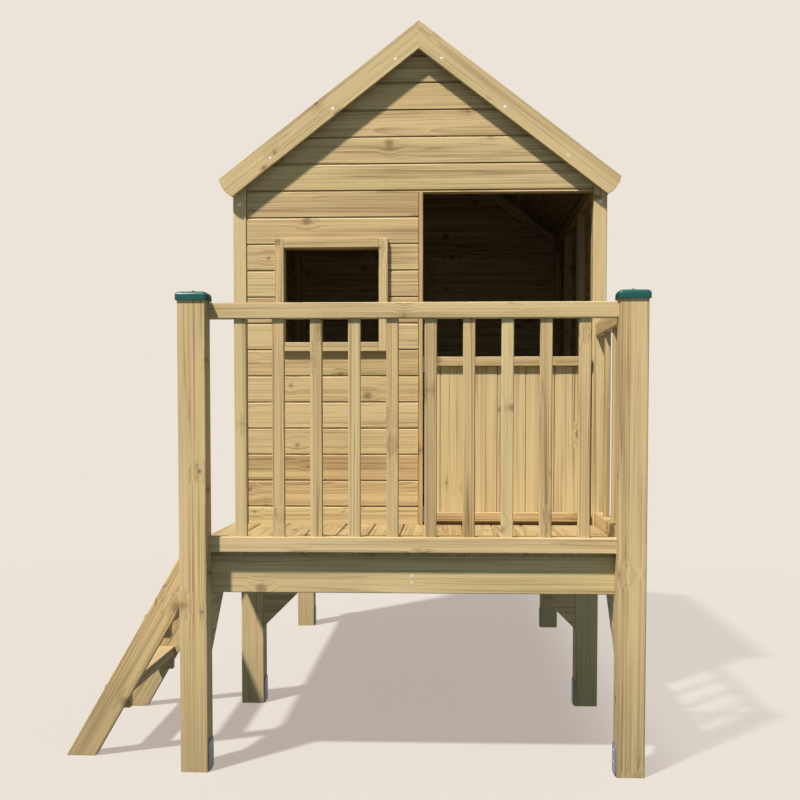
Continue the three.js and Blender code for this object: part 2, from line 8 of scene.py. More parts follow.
import bpy
import numpy as np
from mathutils import Euler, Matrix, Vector


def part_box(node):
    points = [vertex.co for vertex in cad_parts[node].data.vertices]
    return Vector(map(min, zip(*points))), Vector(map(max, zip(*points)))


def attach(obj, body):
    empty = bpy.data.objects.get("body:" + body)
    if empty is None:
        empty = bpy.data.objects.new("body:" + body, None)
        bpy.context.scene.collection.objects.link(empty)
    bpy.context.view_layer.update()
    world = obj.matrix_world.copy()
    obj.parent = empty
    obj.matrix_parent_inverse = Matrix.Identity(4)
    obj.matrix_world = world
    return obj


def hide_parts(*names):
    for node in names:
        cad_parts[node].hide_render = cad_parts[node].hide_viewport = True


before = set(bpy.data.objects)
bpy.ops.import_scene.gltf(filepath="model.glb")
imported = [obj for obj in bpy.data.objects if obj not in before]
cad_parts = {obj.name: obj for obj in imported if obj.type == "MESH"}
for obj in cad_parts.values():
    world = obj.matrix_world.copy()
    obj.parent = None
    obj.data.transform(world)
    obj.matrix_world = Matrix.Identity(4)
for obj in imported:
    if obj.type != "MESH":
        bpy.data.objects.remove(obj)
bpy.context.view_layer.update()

# Camera
# The photograph's eye height and heading, found by fitting the posts, rails and roof edges.
CAMERA_TIPPED_DOWN = 0.0531
CAMERA_TURNED_LEFT = 0.0469
camera = bpy.data.objects.new("camera", bpy.data.cameras.new("camera"))
bpy.context.scene.collection.objects.link(camera)
bpy.context.scene.camera = camera
camera.location = (0.25259, -4.34570, 0.90620)
camera.rotation_euler = (math.pi / 2 - CAMERA_TIPPED_DOWN, 0, CAMERA_TURNED_LEFT)
camera.data.lens = 57.141
camera.data.shift_x = 0.0125
camera.data.shift_y = 0.1041
bpy.context.scene.view_settings.view_transform = "Standard"


# Floor, backdrop and light
# A plain pale studio floor that meets a backdrop of its own colour, a soft sun from the upper left
# and a cool fill that is strongest near the horizon.

def srgb(red, green, blue):
    """A colour read off a colour chart, 0 to 255, as the linear values that a socket takes."""
    share = np.array([red, green, blue]) / 255
    return (*np.where(share < 0.04045, share / 12.92, ((share + 0.055) / 1.055) ** 2.4), 1.0)


def add(tree, kind, inputs=None, **settings):
    """A node of that kind, with its settings, and each input linked to a socket or set to a value."""
    node = tree.nodes.new(kind)
    for name, value in settings.items():
        setattr(node, name, value)
    for key, value in (inputs or {}).items():
        if isinstance(value, bpy.types.NodeSocket):
            tree.links.new(value, node.inputs[key])
        else:
            node.inputs[key].default_value = value
    return node


def sums(tree, operation, *values):
    """The result of one Math node."""
    return add(tree, "ShaderNodeMath", dict(enumerate(values)), operation=operation).outputs[0]


def length_of(tree, vector):
    """The length of a vector."""
    return add(tree, "ShaderNodeVectorMath", {0: vector}, operation="LENGTH").outputs["Value"]


def ease(tree, value, low, high, to_low=0.0, to_high=1.0):
    """Smooth step of a value from one range to another."""
    ranges = {"Value": value, "From Min": low, "From Max": high, "To Min": to_low, "To Max": to_high}
    return add(tree, "ShaderNodeMapRange", ranges, interpolation_type="SMOOTHSTEP").outputs[0]


PALE = srgb(236, 228, 217)
SUN_TRAVEL = (0.346, 0.456, -0.82)
SUN_STRENGTH = 7.2
SUN_WIDTH = math.radians(3.2)
SUN_COLOUR = (1.0, 0.91, 0.85)
FILL_COLOUR = (0.64, 0.86, 1.0, 1.0)
FILL_EVEN_ABOVE = 0.8
FILL_FROM_LOW_TO_HIGH = (0.66, 0.2)
FLOOR_REACH = 60.0
FLOOR_GLOW = (0.457, 0.380, 0.339, 1.0)
FLOOR_MATT = (0.178, 0.194, 0.184, 1.0)
FLOOR_ENDS = (2.2, 4.5)
BOUNCE_GLOW = (0.165, 0.203, 0.208, 1.0)
BOUNCE_MATT = (0.045, 0.055, 0.06, 1.0)
SHADOW_FULL_TO = 0.55
SHADOW_LIGHT_FROM = 0.95
SHADOW_LIGHT_SHARE = 0.42


def sees_backdrop(tree):
    """1 for rays that show the backdrop as it is: from the camera, a reflection or through glass."""
    path = add(tree, "ShaderNodeLightPath").outputs
    seen = sums(tree, "MAXIMUM", path["Is Camera Ray"], path["Is Glossy Ray"])
    return sums(tree, "MAXIMUM", seen, path["Is Transmission Ray"])


world = bpy.data.worlds.new("studio")
bpy.context.scene.world = world
world.use_nodes = True
sky = world.node_tree
sky.nodes.clear()
direction = add(sky, "ShaderNodeTexCoord").outputs["Generated"]
upward = add(sky, "ShaderNodeSeparateXYZ", {0: direction}).outputs[2]
fill_strength = ease(sky, upward, 0.0, FILL_EVEN_ABOVE, *FILL_FROM_LOW_TO_HIGH)
fill = add(sky, "ShaderNodeBackground", {"Color": FILL_COLOUR, "Strength": fill_strength})
pale = add(sky, "ShaderNodeBackground", {"Color": PALE, "Strength": 1.0})
shown = add(sky, "ShaderNodeMixShader", {0: sees_backdrop(sky), 1: fill.outputs[0], 2: pale.outputs[0]})
add(sky, "ShaderNodeOutputWorld", {"Surface": shown.outputs[0]})

sun = bpy.data.objects.new("sun", bpy.data.lights.new("sun", "SUN"))
bpy.context.scene.collection.objects.link(sun)
sun.rotation_euler = Vector(SUN_TRAVEL).to_track_quat("-Z", "Y").to_euler()
sun.data.energy = SUN_STRENGTH
sun.data.angle = SUN_WIDTH
sun.data.color = SUN_COLOUR

floor_mesh = bpy.data.meshes.new("floor")
floor_corners = [(x * FLOOR_REACH, y * FLOOR_REACH, 0) for x, y in ((-1, -1), (1, -1), (1, 1), (-1, 1))]
floor_mesh.from_pydata(floor_corners, [], [(0, 1, 2, 3)])
floor = bpy.data.objects.new("floor", floor_mesh)
bpy.context.scene.collection.objects.link(floor)
floor_paint = bpy.data.materials.new("floor paint")
floor_paint.use_nodes = True
floor_tree = floor_paint.node_tree
floor_tree.nodes.clear()


def glow_and_matt(glow, matt):
    """A glow and a matt surface, added together."""
    glowing = add(floor_tree, "ShaderNodeEmission", {"Color": glow, "Strength": 1.0})
    lit = add(floor_tree, "ShaderNodeBsdfDiffuse", {"Color": matt})
    return add(floor_tree, "ShaderNodeAddShader", {0: glowing.outputs[0], 1: lit.outputs[0]}).outputs[0]


# The floor shows a plain glow and the light that falls on it. The glow takes over with distance, so that
# the shadow thins to the right and the floor's far side has no edge against the backdrop. What the floor
# throws back at the house is partly glow too, as soft studio light is.
floor_place = add(floor_tree, "ShaderNodeTexCoord").outputs["Object"]
to_right = add(floor_tree, "ShaderNodeSeparateXYZ", {0: floor_place}).outputs[0]
beside = ease(floor_tree, to_right, SHADOW_FULL_TO, SHADOW_LIGHT_FROM, 1.0, SHADOW_LIGHT_SHARE)
around = ease(floor_tree, length_of(floor_tree, floor_place), *FLOOR_ENDS, 1.0, 0.0)
near = sums(floor_tree, "MULTIPLY", beside, around)
far_glow = add(floor_tree, "ShaderNodeEmission", {"Color": PALE, "Strength": 1.0})
seen = add(floor_tree, "ShaderNodeMixShader",
           {0: near, 1: far_glow.outputs[0], 2: glow_and_matt(FLOOR_GLOW, FLOOR_MATT)})
bounce = glow_and_matt(BOUNCE_GLOW, BOUNCE_MATT)
floor_mix = add(floor_tree, "ShaderNodeMixShader",
                {0: sees_backdrop(floor_tree), 1: bounce, 2: seen.outputs[0]})
add(floor_tree, "ShaderNodeOutputMaterial", {"Surface": floor_mix.outputs[0]})
floor_mesh.materials.append(floor_paint)


# Posts
# Six 70 mm planed posts of pressure-treated pine, sawn off square. The front pair runs up past the
# deck to carry the rails, and the middle and rear pairs stop under it.

def vectors(tree, operation, *values):
    """The vector that one Vector Math node gives."""
    return add(tree, "ShaderNodeVectorMath", dict(enumerate(values)), operation=operation).outputs[0]


def noise(tree, vector, scales, detail=2.0, output=0):
    """Noise that is stretched by its own scale along each axis: a value, or a colour as output 1."""
    place = vectors(tree, "MULTIPLY", vector, scales)
    return add(tree, "ShaderNodeTexNoise", {"Vector": place, "Scale": 1.0, "Detail": detail}).outputs[output]


def tinted(tree, share, under, over, mode="MIX"):
    """One colour laid over another."""
    inputs = {0: share, 6: under, 7: over}
    return add(tree, "ShaderNodeMix", inputs, data_type="RGBA", blend_type=mode).outputs[2]


def new_group(name, inputs, outputs):
    """An empty shader group with its named sockets, and its two end nodes."""
    tree = bpy.data.node_groups.new(name, "ShaderNodeTree")
    for label, kind in inputs:
        tree.interface.new_socket(label, in_out="INPUT", socket_type="NodeSocket" + kind)
    for label, kind in outputs:
        tree.interface.new_socket(label, in_out="OUTPUT", socket_type="NodeSocket" + kind)
    return tree, tree.nodes.new("NodeGroupInput").outputs, tree.nodes.new("NodeGroupOutput").inputs


EARLY_WOOD = srgb(187, 167, 122)
LATE_WOOD = srgb(122, 98, 64)
KNOT_WOOD = srgb(96, 70, 44)
PINK_TINT = (1.0, 0.92, 0.86, 1.0)
GREEN_TINT = (0.93, 0.98, 0.88, 1.0)
RING_WIDTH = 0.0036
RING_SWING = (0.0, 0.03, 0.03)
RING_SWING_SCALES = (0.8, 6.0, 6.0)
YEARS_PER_METRE = 60.0
YEARS_UNEVEN = 0.02
LATE_SHARPNESS = 2.2
KNOT_SPACING = 0.30
KNOT_ANGLE = 0.6
KNOT_LENGTH_SHARE = 0.75
KNOT_CHANCE = 0.42
KNOT_RADII = (0.003, 0.0095)
KNOT_GROWTH = (0.08, 0.4, 1.2)
KNOT_RAGGED = 0.005
KNOT_RAGGED_SCALES = (70.0, 110.0, 110.0)
KNOT_BLUR = 0.0045
KNOT_CORE = 0.004
KNOT_HALO = 0.03
RING_PUSH = 0.005
GRAIN_PARTING = -0.6
# Streaks in the log: noise scales along, across and out, where they start and are full, their weight
STREAKS = (
    ((2.2, 14.0, 14.0), (0.34, 0.68), 0.28),
    ((0.8, 62.0, 62.0), (0.38, 0.64), 0.26),
    ((1.8, 190.0, 190.0), (0.42, 0.66), 0.34),
)
LINE_SCALES = (0.9, 55.0, 55.0)
LINE_WIDTH = 0.03
FIBRE_SCALES = (7.0, 620.0, 620.0)
LATE_WEIGHT = 0.46
LINE_WEIGHT = 0.3
FIBRE_WEIGHT = 0.2
HALO_WEIGHT = 0.12
TONE_WEIGHT = 0.24
PALENESS = 0.46
PINK_SCALES = (0.35, 5.0, 5.0)
PINK_RANGE = (0.5, 0.95)
PINK_BY_TONE = 0.4
PINK_MOST = 0.7
SALTS_SCALES = (1.6, 11.0, 11.0)
SALTS_RANGE = (0.5, 0.72)
SALTS_MOST = 0.8
KNOT_STAIN = 0.55
CORE_STAIN = 0.6
PINE_ROUGHNESS = 0.6
LATE_ROUGHER = 0.1
draw = np.random.default_rng(7)


def pine_figure():
    """Pine as it grows, in the log's own metres: x runs along the grain and the pith is the x axis.
    Growth rings are shells of equal distance from the pith, bent by slow noise and pushed out round the
    knots. A knot is a branch, with a place along the log and an angle round it, and it widens with the
    distance from the pith. Streaks are noise drawn out along the grain, and they part round the knots."""
    tree, given, result = new_group(
        "Pine figure",
        [("Log place", "Vector"), ("Tone", "Float"), ("Early wood", "Color"), ("Late wood", "Color"),
         ("Knot wood", "Color")],
        [("Color", "Color"), ("Roughness", "Float"), ("Height", "Float")],
    )
    place = given["Log place"]
    slow = noise(tree, place, RING_SWING_SCALES, 1.0, 1)
    swing = vectors(tree, "MULTIPLY", vectors(tree, "SUBTRACT", slow, (0.5, 0.5, 0.5)), RING_SWING)
    bent = vectors(tree, "ADD", place, swing)

    along, across, out = add(tree, "ShaderNodeSeparateXYZ", {0: place}).outputs
    from_pith = length_of(tree, vectors(tree, "MULTIPLY", place, (0.0, 1.0, 1.0)))
    angle = sums(tree, "ARCTAN2", across, sums(tree, "ABSOLUTE", out))
    cell = add(tree, "ShaderNodeCombineXYZ", {
        0: sums(tree, "DIVIDE", along, KNOT_SPACING), 1: sums(tree, "DIVIDE", angle, KNOT_ANGLE)}).outputs[0]
    branches = add(tree, "ShaderNodeTexVoronoi", {"Vector": cell, "Scale": 1.0},
                   voronoi_dimensions="2D").outputs
    from_middle = vectors(tree, "SUBTRACT", cell, branches["Position"])
    offset = add(tree, "ShaderNodeSeparateXYZ", {0: from_middle}).outputs
    beside = sums(tree, "MULTIPLY", sums(tree, "MULTIPLY", offset[1], KNOT_ANGLE), from_pith)
    before = sums(tree, "MULTIPLY", offset[0], KNOT_SPACING * KNOT_LENGTH_SHARE)
    rough_edge = noise(tree, place, KNOT_RAGGED_SCALES, 1.0)
    ragged = sums(tree, "MULTIPLY_ADD", rough_edge, KNOT_RAGGED, -KNOT_RAGGED / 2)
    from_branch = sums(tree, "ADD", ragged, length_of(
        tree, add(tree, "ShaderNodeCombineXYZ", {0: before, 1: beside}).outputs[0]))
    luck = add(tree, "ShaderNodeSeparateColor", {0: branches["Color"]}).outputs
    present = sums(tree, "LESS_THAN", luck[0], KNOT_CHANCE)
    reach = ease(tree, luck[1], 0.0, 1.0, *KNOT_RADII)
    knot_radius = sums(tree, "MULTIPLY", reach, ease(tree, from_pith, 0.0, *KNOT_GROWTH))
    from_edge = sums(tree, "SUBTRACT", from_branch, knot_radius)
    knot = sums(tree, "MULTIPLY", present, ease(tree, from_edge, -KNOT_BLUR, KNOT_BLUR, 1.0, 0.0))
    core = sums(tree, "MULTIPLY", present, ease(tree, from_branch, 0.0, KNOT_CORE, 1.0, 0.0))
    halo = sums(tree, "MULTIPLY", present, ease(tree, from_edge, 0.0, KNOT_HALO, 1.0, 0.0))

    pushed = sums(tree, "MULTIPLY", halo, RING_PUSH)
    radius = sums(tree, "ADD", length_of(tree, vectors(tree, "MULTIPLY", bent, (0.0, 1.0, 1.0))), pushed)
    years = add(tree, "ShaderNodeTexNoise",
                {"W": sums(tree, "MULTIPLY", radius, YEARS_PER_METRE), "Scale": 1.0},
                noise_dimensions="1D").outputs[0]
    uneven = sums(tree, "MULTIPLY_ADD", years, YEARS_UNEVEN, radius)
    ring = sums(tree, "FRACT", sums(tree, "DIVIDE", uneven, RING_WIDTH))
    late = sums(tree, "POWER", ring, LATE_SHARPNESS)

    parted = sums(tree, "MULTIPLY", sums(tree, "MULTIPLY", halo, beside), GRAIN_PARTING)
    flow = vectors(tree, "ADD", place, add(tree, "ShaderNodeCombineXYZ", {1: parted}).outputs[0])
    wandering = noise(tree, flow, LINE_SCALES, 1.0)
    from_line = sums(tree, "ABSOLUTE", sums(tree, "SUBTRACT", wandering, 0.5))
    line = ease(tree, from_line, 0.0, LINE_WIDTH, 1.0, 0.0)
    fibre = noise(tree, flow, FIBRE_SCALES)
    layers = [(late, LATE_WEIGHT), (line, LINE_WEIGHT), (fibre, FIBRE_WEIGHT), (halo, HALO_WEIGHT)]
    for scales, (start, full), weight in STREAKS:
        layers.append((ease(tree, noise(tree, flow, scales), start, full), weight))
    darkness = sums(tree, "MULTIPLY_ADD", given["Tone"], TONE_WEIGHT, -PALENESS)
    for layer, weight in layers:
        darkness = sums(tree, "MULTIPLY_ADD", layer, weight, darkness)
    wood = tinted(tree, darkness, given["Early wood"], given["Late wood"])

    warm = noise(tree, place, PINK_SCALES, 1.0)
    warmer = sums(tree, "MULTIPLY_ADD", given["Tone"], PINK_BY_TONE, warm)
    pink = sums(tree, "MULTIPLY", ease(tree, warmer, *PINK_RANGE), PINK_MOST)
    wood = tinted(tree, pink, wood, PINK_TINT, "MULTIPLY")
    salts = ease(tree, noise(tree, place, SALTS_SCALES), *SALTS_RANGE)
    wood = tinted(tree, sums(tree, "MULTIPLY", salts, SALTS_MOST), wood, GREEN_TINT, "MULTIPLY")
    for stain, most in ((knot, KNOT_STAIN), (core, CORE_STAIN)):
        wood = tinted(tree, sums(tree, "MULTIPLY", stain, most), wood, given["Knot wood"])
    tree.links.new(wood, result["Color"])
    tree.links.new(sums(tree, "MULTIPLY_ADD", late, LATE_ROUGHER, PINE_ROUGHNESS), result["Roughness"])
    relief = sums(tree, "MULTIPLY_ADD", late, 0.5, sums(tree, "MULTIPLY", fibre, 0.5))
    tree.links.new(sums(tree, "ADD", relief, knot), result["Height"])
    return tree


pine_group = pine_figure()
PINE_RELIEF = {"Strength": 0.5, "Distance": 0.0004}
PINE_SPECULAR = 0.28
# All pine is darker towards the ground, up to this height, in uneven patches
LOW_DARKENING_TINT = (0.76, 0.77, 0.77, 1.0)
LOW_DARKENING_HEIGHT = 0.42
LOW_DARKENING_PATCHES = (14.0, 14.0, 6.0)
LOW_DARKENING_UNEVEN = 0.16


def new_finish(name):
    """A material, its nodes, the inputs of its shader, and the place on the piece that its nodes read."""
    material = bpy.data.materials.new(name)
    material.use_nodes = True
    tree = material.node_tree
    seen = add(tree, "ShaderNodeTexCoord").outputs["Object"]
    return material, tree, tree.nodes["Principled BSDF"].inputs, seen


def surface(tree, shader, colour, roughness, height, relief):
    """Links a colour, a roughness and a relief to the shader."""
    bump = add(tree, "ShaderNodeBump", {"Height": height, **relief})
    for socket, value in (("Base Color", colour), ("Roughness", roughness), ("Normal", bump.outputs[0])):
        tree.links.new(value, shader[socket])


def pine_material(name, place, tone, early=EARLY_WOOD, late=LATE_WOOD):
    """Planed pine: the figure drives colour, roughness and a relief of a fifth of a millimetre, and the
    colour is darker towards the ground, in uneven patches, more so the nearer the ground."""
    material, tree, shader, seen = new_finish(name)
    inputs = {"Log place": place(tree), "Tone": tone(tree) if callable(tone) else tone,
              "Early wood": early, "Late wood": late, "Knot wood": KNOT_WOOD}
    figure = add(tree, "ShaderNodeGroup", inputs, node_tree=pine_group).outputs
    # Darker towards the ground, in uneven patches
    level = add(tree, "ShaderNodeSeparateXYZ", {0: seen}).outputs[2]
    patches = noise(tree, seen, LOW_DARKENING_PATCHES)
    patchy = sums(tree, "MULTIPLY_ADD", patches, LOW_DARKENING_UNEVEN, -LOW_DARKENING_UNEVEN / 2)
    low_darkening = ease(tree, sums(tree, "ADD", level, patchy), 0.0, LOW_DARKENING_HEIGHT, 1.0, 0.0)
    darkened_low = tinted(tree, low_darkening, figure["Color"], LOW_DARKENING_TINT, "MULTIPLY")
    surface(tree, shader, darkened_low, figure["Roughness"], figure["Height"], PINE_RELIEF)
    shader["Specular IOR Level"].default_value = PINE_SPECULAR
    return material


def log_from_object(turn, middle, shift):
    """Object coordinates turned so that x runs along the grain, with the pith shifted off the middle."""
    def place(tree):
        seen = add(tree, "ShaderNodeTexCoord").outputs["Object"]
        move = Vector(shift) - Euler(turn).to_matrix() @ Vector(middle)
        return add(tree, "ShaderNodeMapping", {"Vector": seen, "Rotation": turn, "Location": move}).outputs[0]
    return place


ALONG_LOG = (0, 30)
PITH_BESIDE = (0.01, 0.075)
PITH_BEHIND = (0.035, 0.085)


def pith_shift():
    """Where a timber was sawn from its log: a place along it, and the pith's distance to two sides."""
    side, up = draw.choice([-1.0, 1.0], 2)
    along, beside, behind = (draw.uniform(*reach) for reach in (ALONG_LOG, PITH_BESIDE, PITH_BEHIND))
    return np.array([along, side * beside, up * behind])


ALONG_X = (0.0, 0.0, 0.0)
ALONG_Y = (0.0, 0.0, -math.pi / 2)
ALONG_Z = (0.0, math.pi / 2, 0.0)


def dress_in_pine(node, turn, tone=None):
    """Gives a packed timber pine of its own, with the grain along it."""
    low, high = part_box(node)
    tone = draw.uniform(0, 1) if tone is None else tone
    finish = pine_material(f"{node} pine", log_from_object(turn, (low + high) / 2, pith_shift()), tone)
    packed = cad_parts[node]
    packed.data.materials.clear()
    packed.data.materials.append(finish)


SIDES = (("left", -1), ("right", 1))
# The middle and rear posts stand in shade under the deck, and their paler tone is painted light that lifts
# that shade
POST_TONES_WITH_PAINTED_LIGHT = {"front": 0.3, "middle": -0.5, "rear": -0.5}
for side, _ in SIDES:
    for row, tone in POST_TONES_WITH_PAINTED_LIGHT.items():
        dress_in_pine(f"post_{row}_{side}", ALONG_Z, tone)


# Post caps
# Glossy dark green mouldings pressed over the front posts: a skirt with rounded corners and shoulders,
# a low crown, and the nub that the mould's gate leaves.
CAP_GREEN = srgb(9, 82, 76)
CAP_GREEN_DEEP = srgb(6, 64, 60)
CAP_WALL = 0.0027
CAP_CORNER = 0.006
CAP_ROUND_SHARE = 0.9
CAP_SPREAD = 0.0022
CAP_SHOULDER = 0.008
CAP_SHOULDER_DROP = 0.010
CAP_TOP = 0.004
CAP_CROWN = 0.0025
CAP_RIM_EASE = 0.0006
NUB_RADIUS = 0.004
NUB_HEIGHT = 0.0025
NUB_EASE = 0.0004
CORNER_STEPS = 8
SHOULDER_STEPS = 6
CROWN_STEPS = 7
CAP_SMOOTH_BELOW = 40
CAP_CLOUD_SCALES = (45.0, 45.0, 45.0)
CAP_RIPPLE_SCALES = (420.0, 420.0, 420.0)
CAP_DUST_SCALES = (900.0, 900.0, 900.0)
CAP_DUST_RANGE = (0.6, 0.8)
CAP_ROUGHNESS = 0.3
CAP_DUST_ROUGHER = 0.12
CAP_RELIEF = {"Strength": 0.25, "Distance": 0.0003}
CAP_SPECULAR = 0.35


def cap_profile(half, height):
    """Half widths and heights from the middle of the hollow's ceiling, down inside, round the rim, up the
    skirt, over a shoulder that is a quarter of an ellipse, a crown that is a parabola, and the nub."""
    inner = half - CAP_WALL
    ceiling = height - CAP_TOP
    turn = np.linspace(0, math.pi / 2, SHOULDER_STEPS)
    shoulder_half = half - CAP_SHOULDER * (1 - np.cos(turn))
    shoulder_height = height - CAP_SHOULDER_DROP * (1 - np.sin(turn))
    crown_half = np.linspace(half - CAP_SHOULDER, NUB_RADIUS, CROWN_STEPS)[1:]
    crown_height = height + CAP_CROWN * (1 - (crown_half / (half - CAP_SHOULDER)) ** 2)
    top = crown_height[-1] + NUB_HEIGHT
    halves = [NUB_RADIUS, inner, inner, half - CAP_RIM_EASE, half, *shoulder_half, *crown_half,
              NUB_RADIUS, NUB_RADIUS - NUB_EASE]
    heights = [ceiling, ceiling, 0, 0, CAP_RIM_EASE, *shoulder_height, *crown_height, top - NUB_EASE, top]
    return np.array(halves), np.array(heights)


def rounded_square_rings(halves, heights):
    """Rings round a square with rounded corners: each corner is an arc about the corner of the square
    less its radius. The radius is most of a small ring's half width, so the nub is nearly round."""
    radius = np.minimum(CAP_CORNER, halves * CAP_ROUND_SHARE)[:, None]
    quarter = np.repeat(np.arange(4), CORNER_STEPS + 1)[None, :]
    turn = (quarter + np.tile(np.linspace(0, 1, CORNER_STEPS + 1), 4)) * (math.pi / 2)
    middle = (quarter + 0.5) * (math.pi / 2)
    x = (halves[:, None] - radius) * np.sign(np.cos(middle)) + radius * np.cos(turn)
    y = (halves[:, None] - radius) * np.sign(np.sin(middle)) + radius * np.sin(turn)
    return np.stack([x, y, np.broadcast_to(heights[:, None], x.shape)], -1)


def skin(rings):
    """Faces over rings of points, closed round each ring and over the first and the last."""
    count = rings.shape[1]
    corner = np.arange(count)
    after = np.roll(corner, -1)
    row = (np.arange(len(rings) - 1) * count)[:, None]
    quads = np.stack([row + corner, row + after, row + after + count, row + corner + count], -1)
    last = corner + (len(rings) - 1) * count
    return [*quads.reshape(-1, 4).tolist(), corner[::-1].tolist(), last.tolist()]


def smoothed(mesh, degrees):
    """Smooth shading, except over edges that turn by more than so many degrees."""
    mesh.polygons.foreach_set("use_smooth", np.ones(len(mesh.polygons), bool))
    mesh.set_sharp_from_angle(angle=math.radians(degrees))


def new_piece(name, parts, finish, body="playhouse"):
    """One object from several parts, which are given by their points and faces first, in its finish and
    on its body. The numbers in a part's faces are raised by the count of the points before it."""
    starts = np.cumsum([0, *(len(points) for points, *_ in parts)])
    faces = [[index + start for index in face]
             for start, (_, loops, *_) in zip(starts, parts) for face in loops]
    mesh = bpy.data.meshes.new(name)
    mesh.from_pydata(np.vstack([points for points, *_ in parts]), [], faces)
    mesh.materials.append(finish)
    piece = bpy.data.objects.new(name, mesh)
    bpy.context.scene.collection.objects.link(piece)
    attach(piece, body)
    return piece


def moulded_green():
    """Gloss plastic with a slow change of depth in its green and the faint ripple of a moulded face."""
    material, tree, shader, seen = new_finish("moulded green")
    green = tinted(tree, noise(tree, seen, CAP_CLOUD_SCALES), CAP_GREEN, CAP_GREEN_DEEP)
    dust = ease(tree, noise(tree, seen, CAP_DUST_SCALES), *CAP_DUST_RANGE)
    rough = sums(tree, "MULTIPLY_ADD", dust, CAP_DUST_ROUGHER, CAP_ROUGHNESS)
    surface(tree, shader, green, rough, noise(tree, seen, CAP_RIPPLE_SCALES, 3.0), CAP_RELIEF)
    shader["Specular IOR Level"].default_value = CAP_SPECULAR
    return material


cap_finish = moulded_green()
for side, _ in SIDES:
    low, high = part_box(f"cap_{side}")
    profile = cap_profile((high.x - low.x) / 2 + CAP_SPREAD, high.z - low.z - CAP_CROWN - NUB_HEIGHT)
    rings = rounded_square_rings(*profile)
    points = rings.reshape(-1, 3) + ((low.x + high.x) / 2, (low.y + high.y) / 2, low.z)
    cap = new_piece(f"{side}_post_cap", [(points, skin(rings))], cap_finish)
    smoothed(cap.data, CAP_SMOOTH_BELOW)
    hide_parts(f"cap_{side}")


# Beams, joists and braces
# Planed 28 mm pine on edge, screwed to the posts, with a triangular block of post stock in the four
# corners that would otherwise rack.
for row in ("front", "middle", "rear"):
    dress_in_pine(f"beam_{row}", ALONG_X)
for place in ("left", "right", "centre"):
    dress_in_pine(f"joist_{place}", ALONG_Y)
for side, _ in SIDES:
    dress_in_pine(f"brace_side_{side}", ALONG_Y)
    dress_in_pine(f"brace_middle_{side}", ALONG_X)


# Deck
# Thirteen planed boards run from the front beam to the rear wall, with their edges eased so that each
# joint shows as a narrow V. Their pine is painted darker, as the roof's is: painted shade on faces that the
# sun lights from above.
DECK_BOARDS = 13
BOARD_GAP = 0.0003
DECK_VEE = (0.0028, 0.005)
EDGE_EASE = 0.0012
FINE_EASE = 0.0006
EASED_ABOVE = math.radians(40)
# Painted shade: a darker pine for the deck and roof boards, the faces that the sun lights from above
TOP_SHADE_EARLY = srgb(167, 149, 106)
TOP_SHADE_LATE = srgb(106, 86, 55)
UP = np.array([0.0, 0.0, 1.0])
RIGHT = np.array([1.0, 0.0, 0.0])
BACK = np.array([0.0, 1.0, 0.0])


def new_log(middle):
    """The log that a timber is sawn from: the timber's middle, its shift from the pith and its tone."""
    return np.asarray(middle, float), pith_shift(), draw.uniform(0, 1)


def timber(section, starts, ends, origin, axes, log=None, grain=None, paler=0.0):
    """A straight piece: a closed section of (across, out) pairs carried along the grain from its start
    to its end, each one length or one for each corner, as a sloping cut needs. The axes are the
    directions along, across and out. Returns vertices, faces, their places in the log, and the tone."""
    section = np.asarray(section, float)
    axes = np.asarray(axes, float)
    count = len(section)
    near = np.column_stack([np.broadcast_to(starts, count), section])
    far = np.column_stack([np.broadcast_to(ends, count), section])
    vertices = np.asarray(origin, float) + np.vstack([near, far]) @ axes
    corner = np.arange(count)
    following = np.roll(corner, -1)
    sides = np.column_stack([corner, following, following + count, corner + count]).tolist()
    faces = [*sides, corner[::-1].tolist(), (corner + count).tolist()]
    across, out = section.T
    turning = (across * np.roll(out, -1) - np.roll(across, -1) * out).sum()
    if turning * np.linalg.det(axes) < 0:
        faces = [face[::-1] for face in faces]
    middle, shift, tone = new_log(vertices.mean(0)) if log is None else log
    grain = axes if grain is None else np.asarray(grain, float)
    return vertices, faces, (vertices - middle) @ grain.T + shift, tone - paler


def block(low, high, axis):
    """A rectangular timber between two corners, with its grain along axis 0, 1 or 2."""
    low, high = np.asarray(low, float), np.asarray(high, float)
    across, out = [other for other in range(3) if other != axis]
    size = high - low
    section = [(0, 0), (size[across], 0), (size[across], size[out]), (0, size[out])]
    return timber(section, 0, size[axis], low, np.eye(3)[[axis, across, out]])


def log_from_attribute(tree):
    """The place in the log that a built piece carries for each of its points."""
    return add(tree, "ShaderNodeAttribute", attribute_name="log_place").outputs["Vector"]


def tone_from_attribute(tree):
    """The tone of the board that a point belongs to."""
    return add(tree, "ShaderNodeAttribute", attribute_name="tone").outputs["Fac"]


board_pine = pine_material("board pine", log_from_attribute, tone_from_attribute)
top_shaded_pine = pine_material("pine with painted shade on top", log_from_attribute, tone_from_attribute,
                               TOP_SHADE_EARLY, TOP_SHADE_LATE)


def assemble(name, timbers, replaced=None, ease_width=EDGE_EASE, finish=board_pine, body="playhouse"):
    """One object from its timbers, with their places in their logs and their tones kept as point
    attributes, and its edges eased by a narrow rounded bevel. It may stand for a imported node."""
    piece = new_piece(name, timbers, finish, body)
    logs = piece.data.attributes.new("log_place", "FLOAT_VECTOR", "POINT")
    logs.data.foreach_set("vector", np.vstack([place for _, _, place, _ in timbers]).ravel())
    tones = piece.data.attributes.new("tone", "FLOAT", "POINT")
    tones.data.foreach_set("value", np.concatenate([np.full(len(v), tone) for v, _, _, tone in timbers]))
    piece.data.validate()
    bevel = piece.modifiers.new("eased edges", "BEVEL")
    bevel.width = ease_width
    bevel.segments = 2
    bevel.limit_method = "ANGLE"
    bevel.angle_limit = EASED_ABOVE
    if replaced:
        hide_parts(replaced)


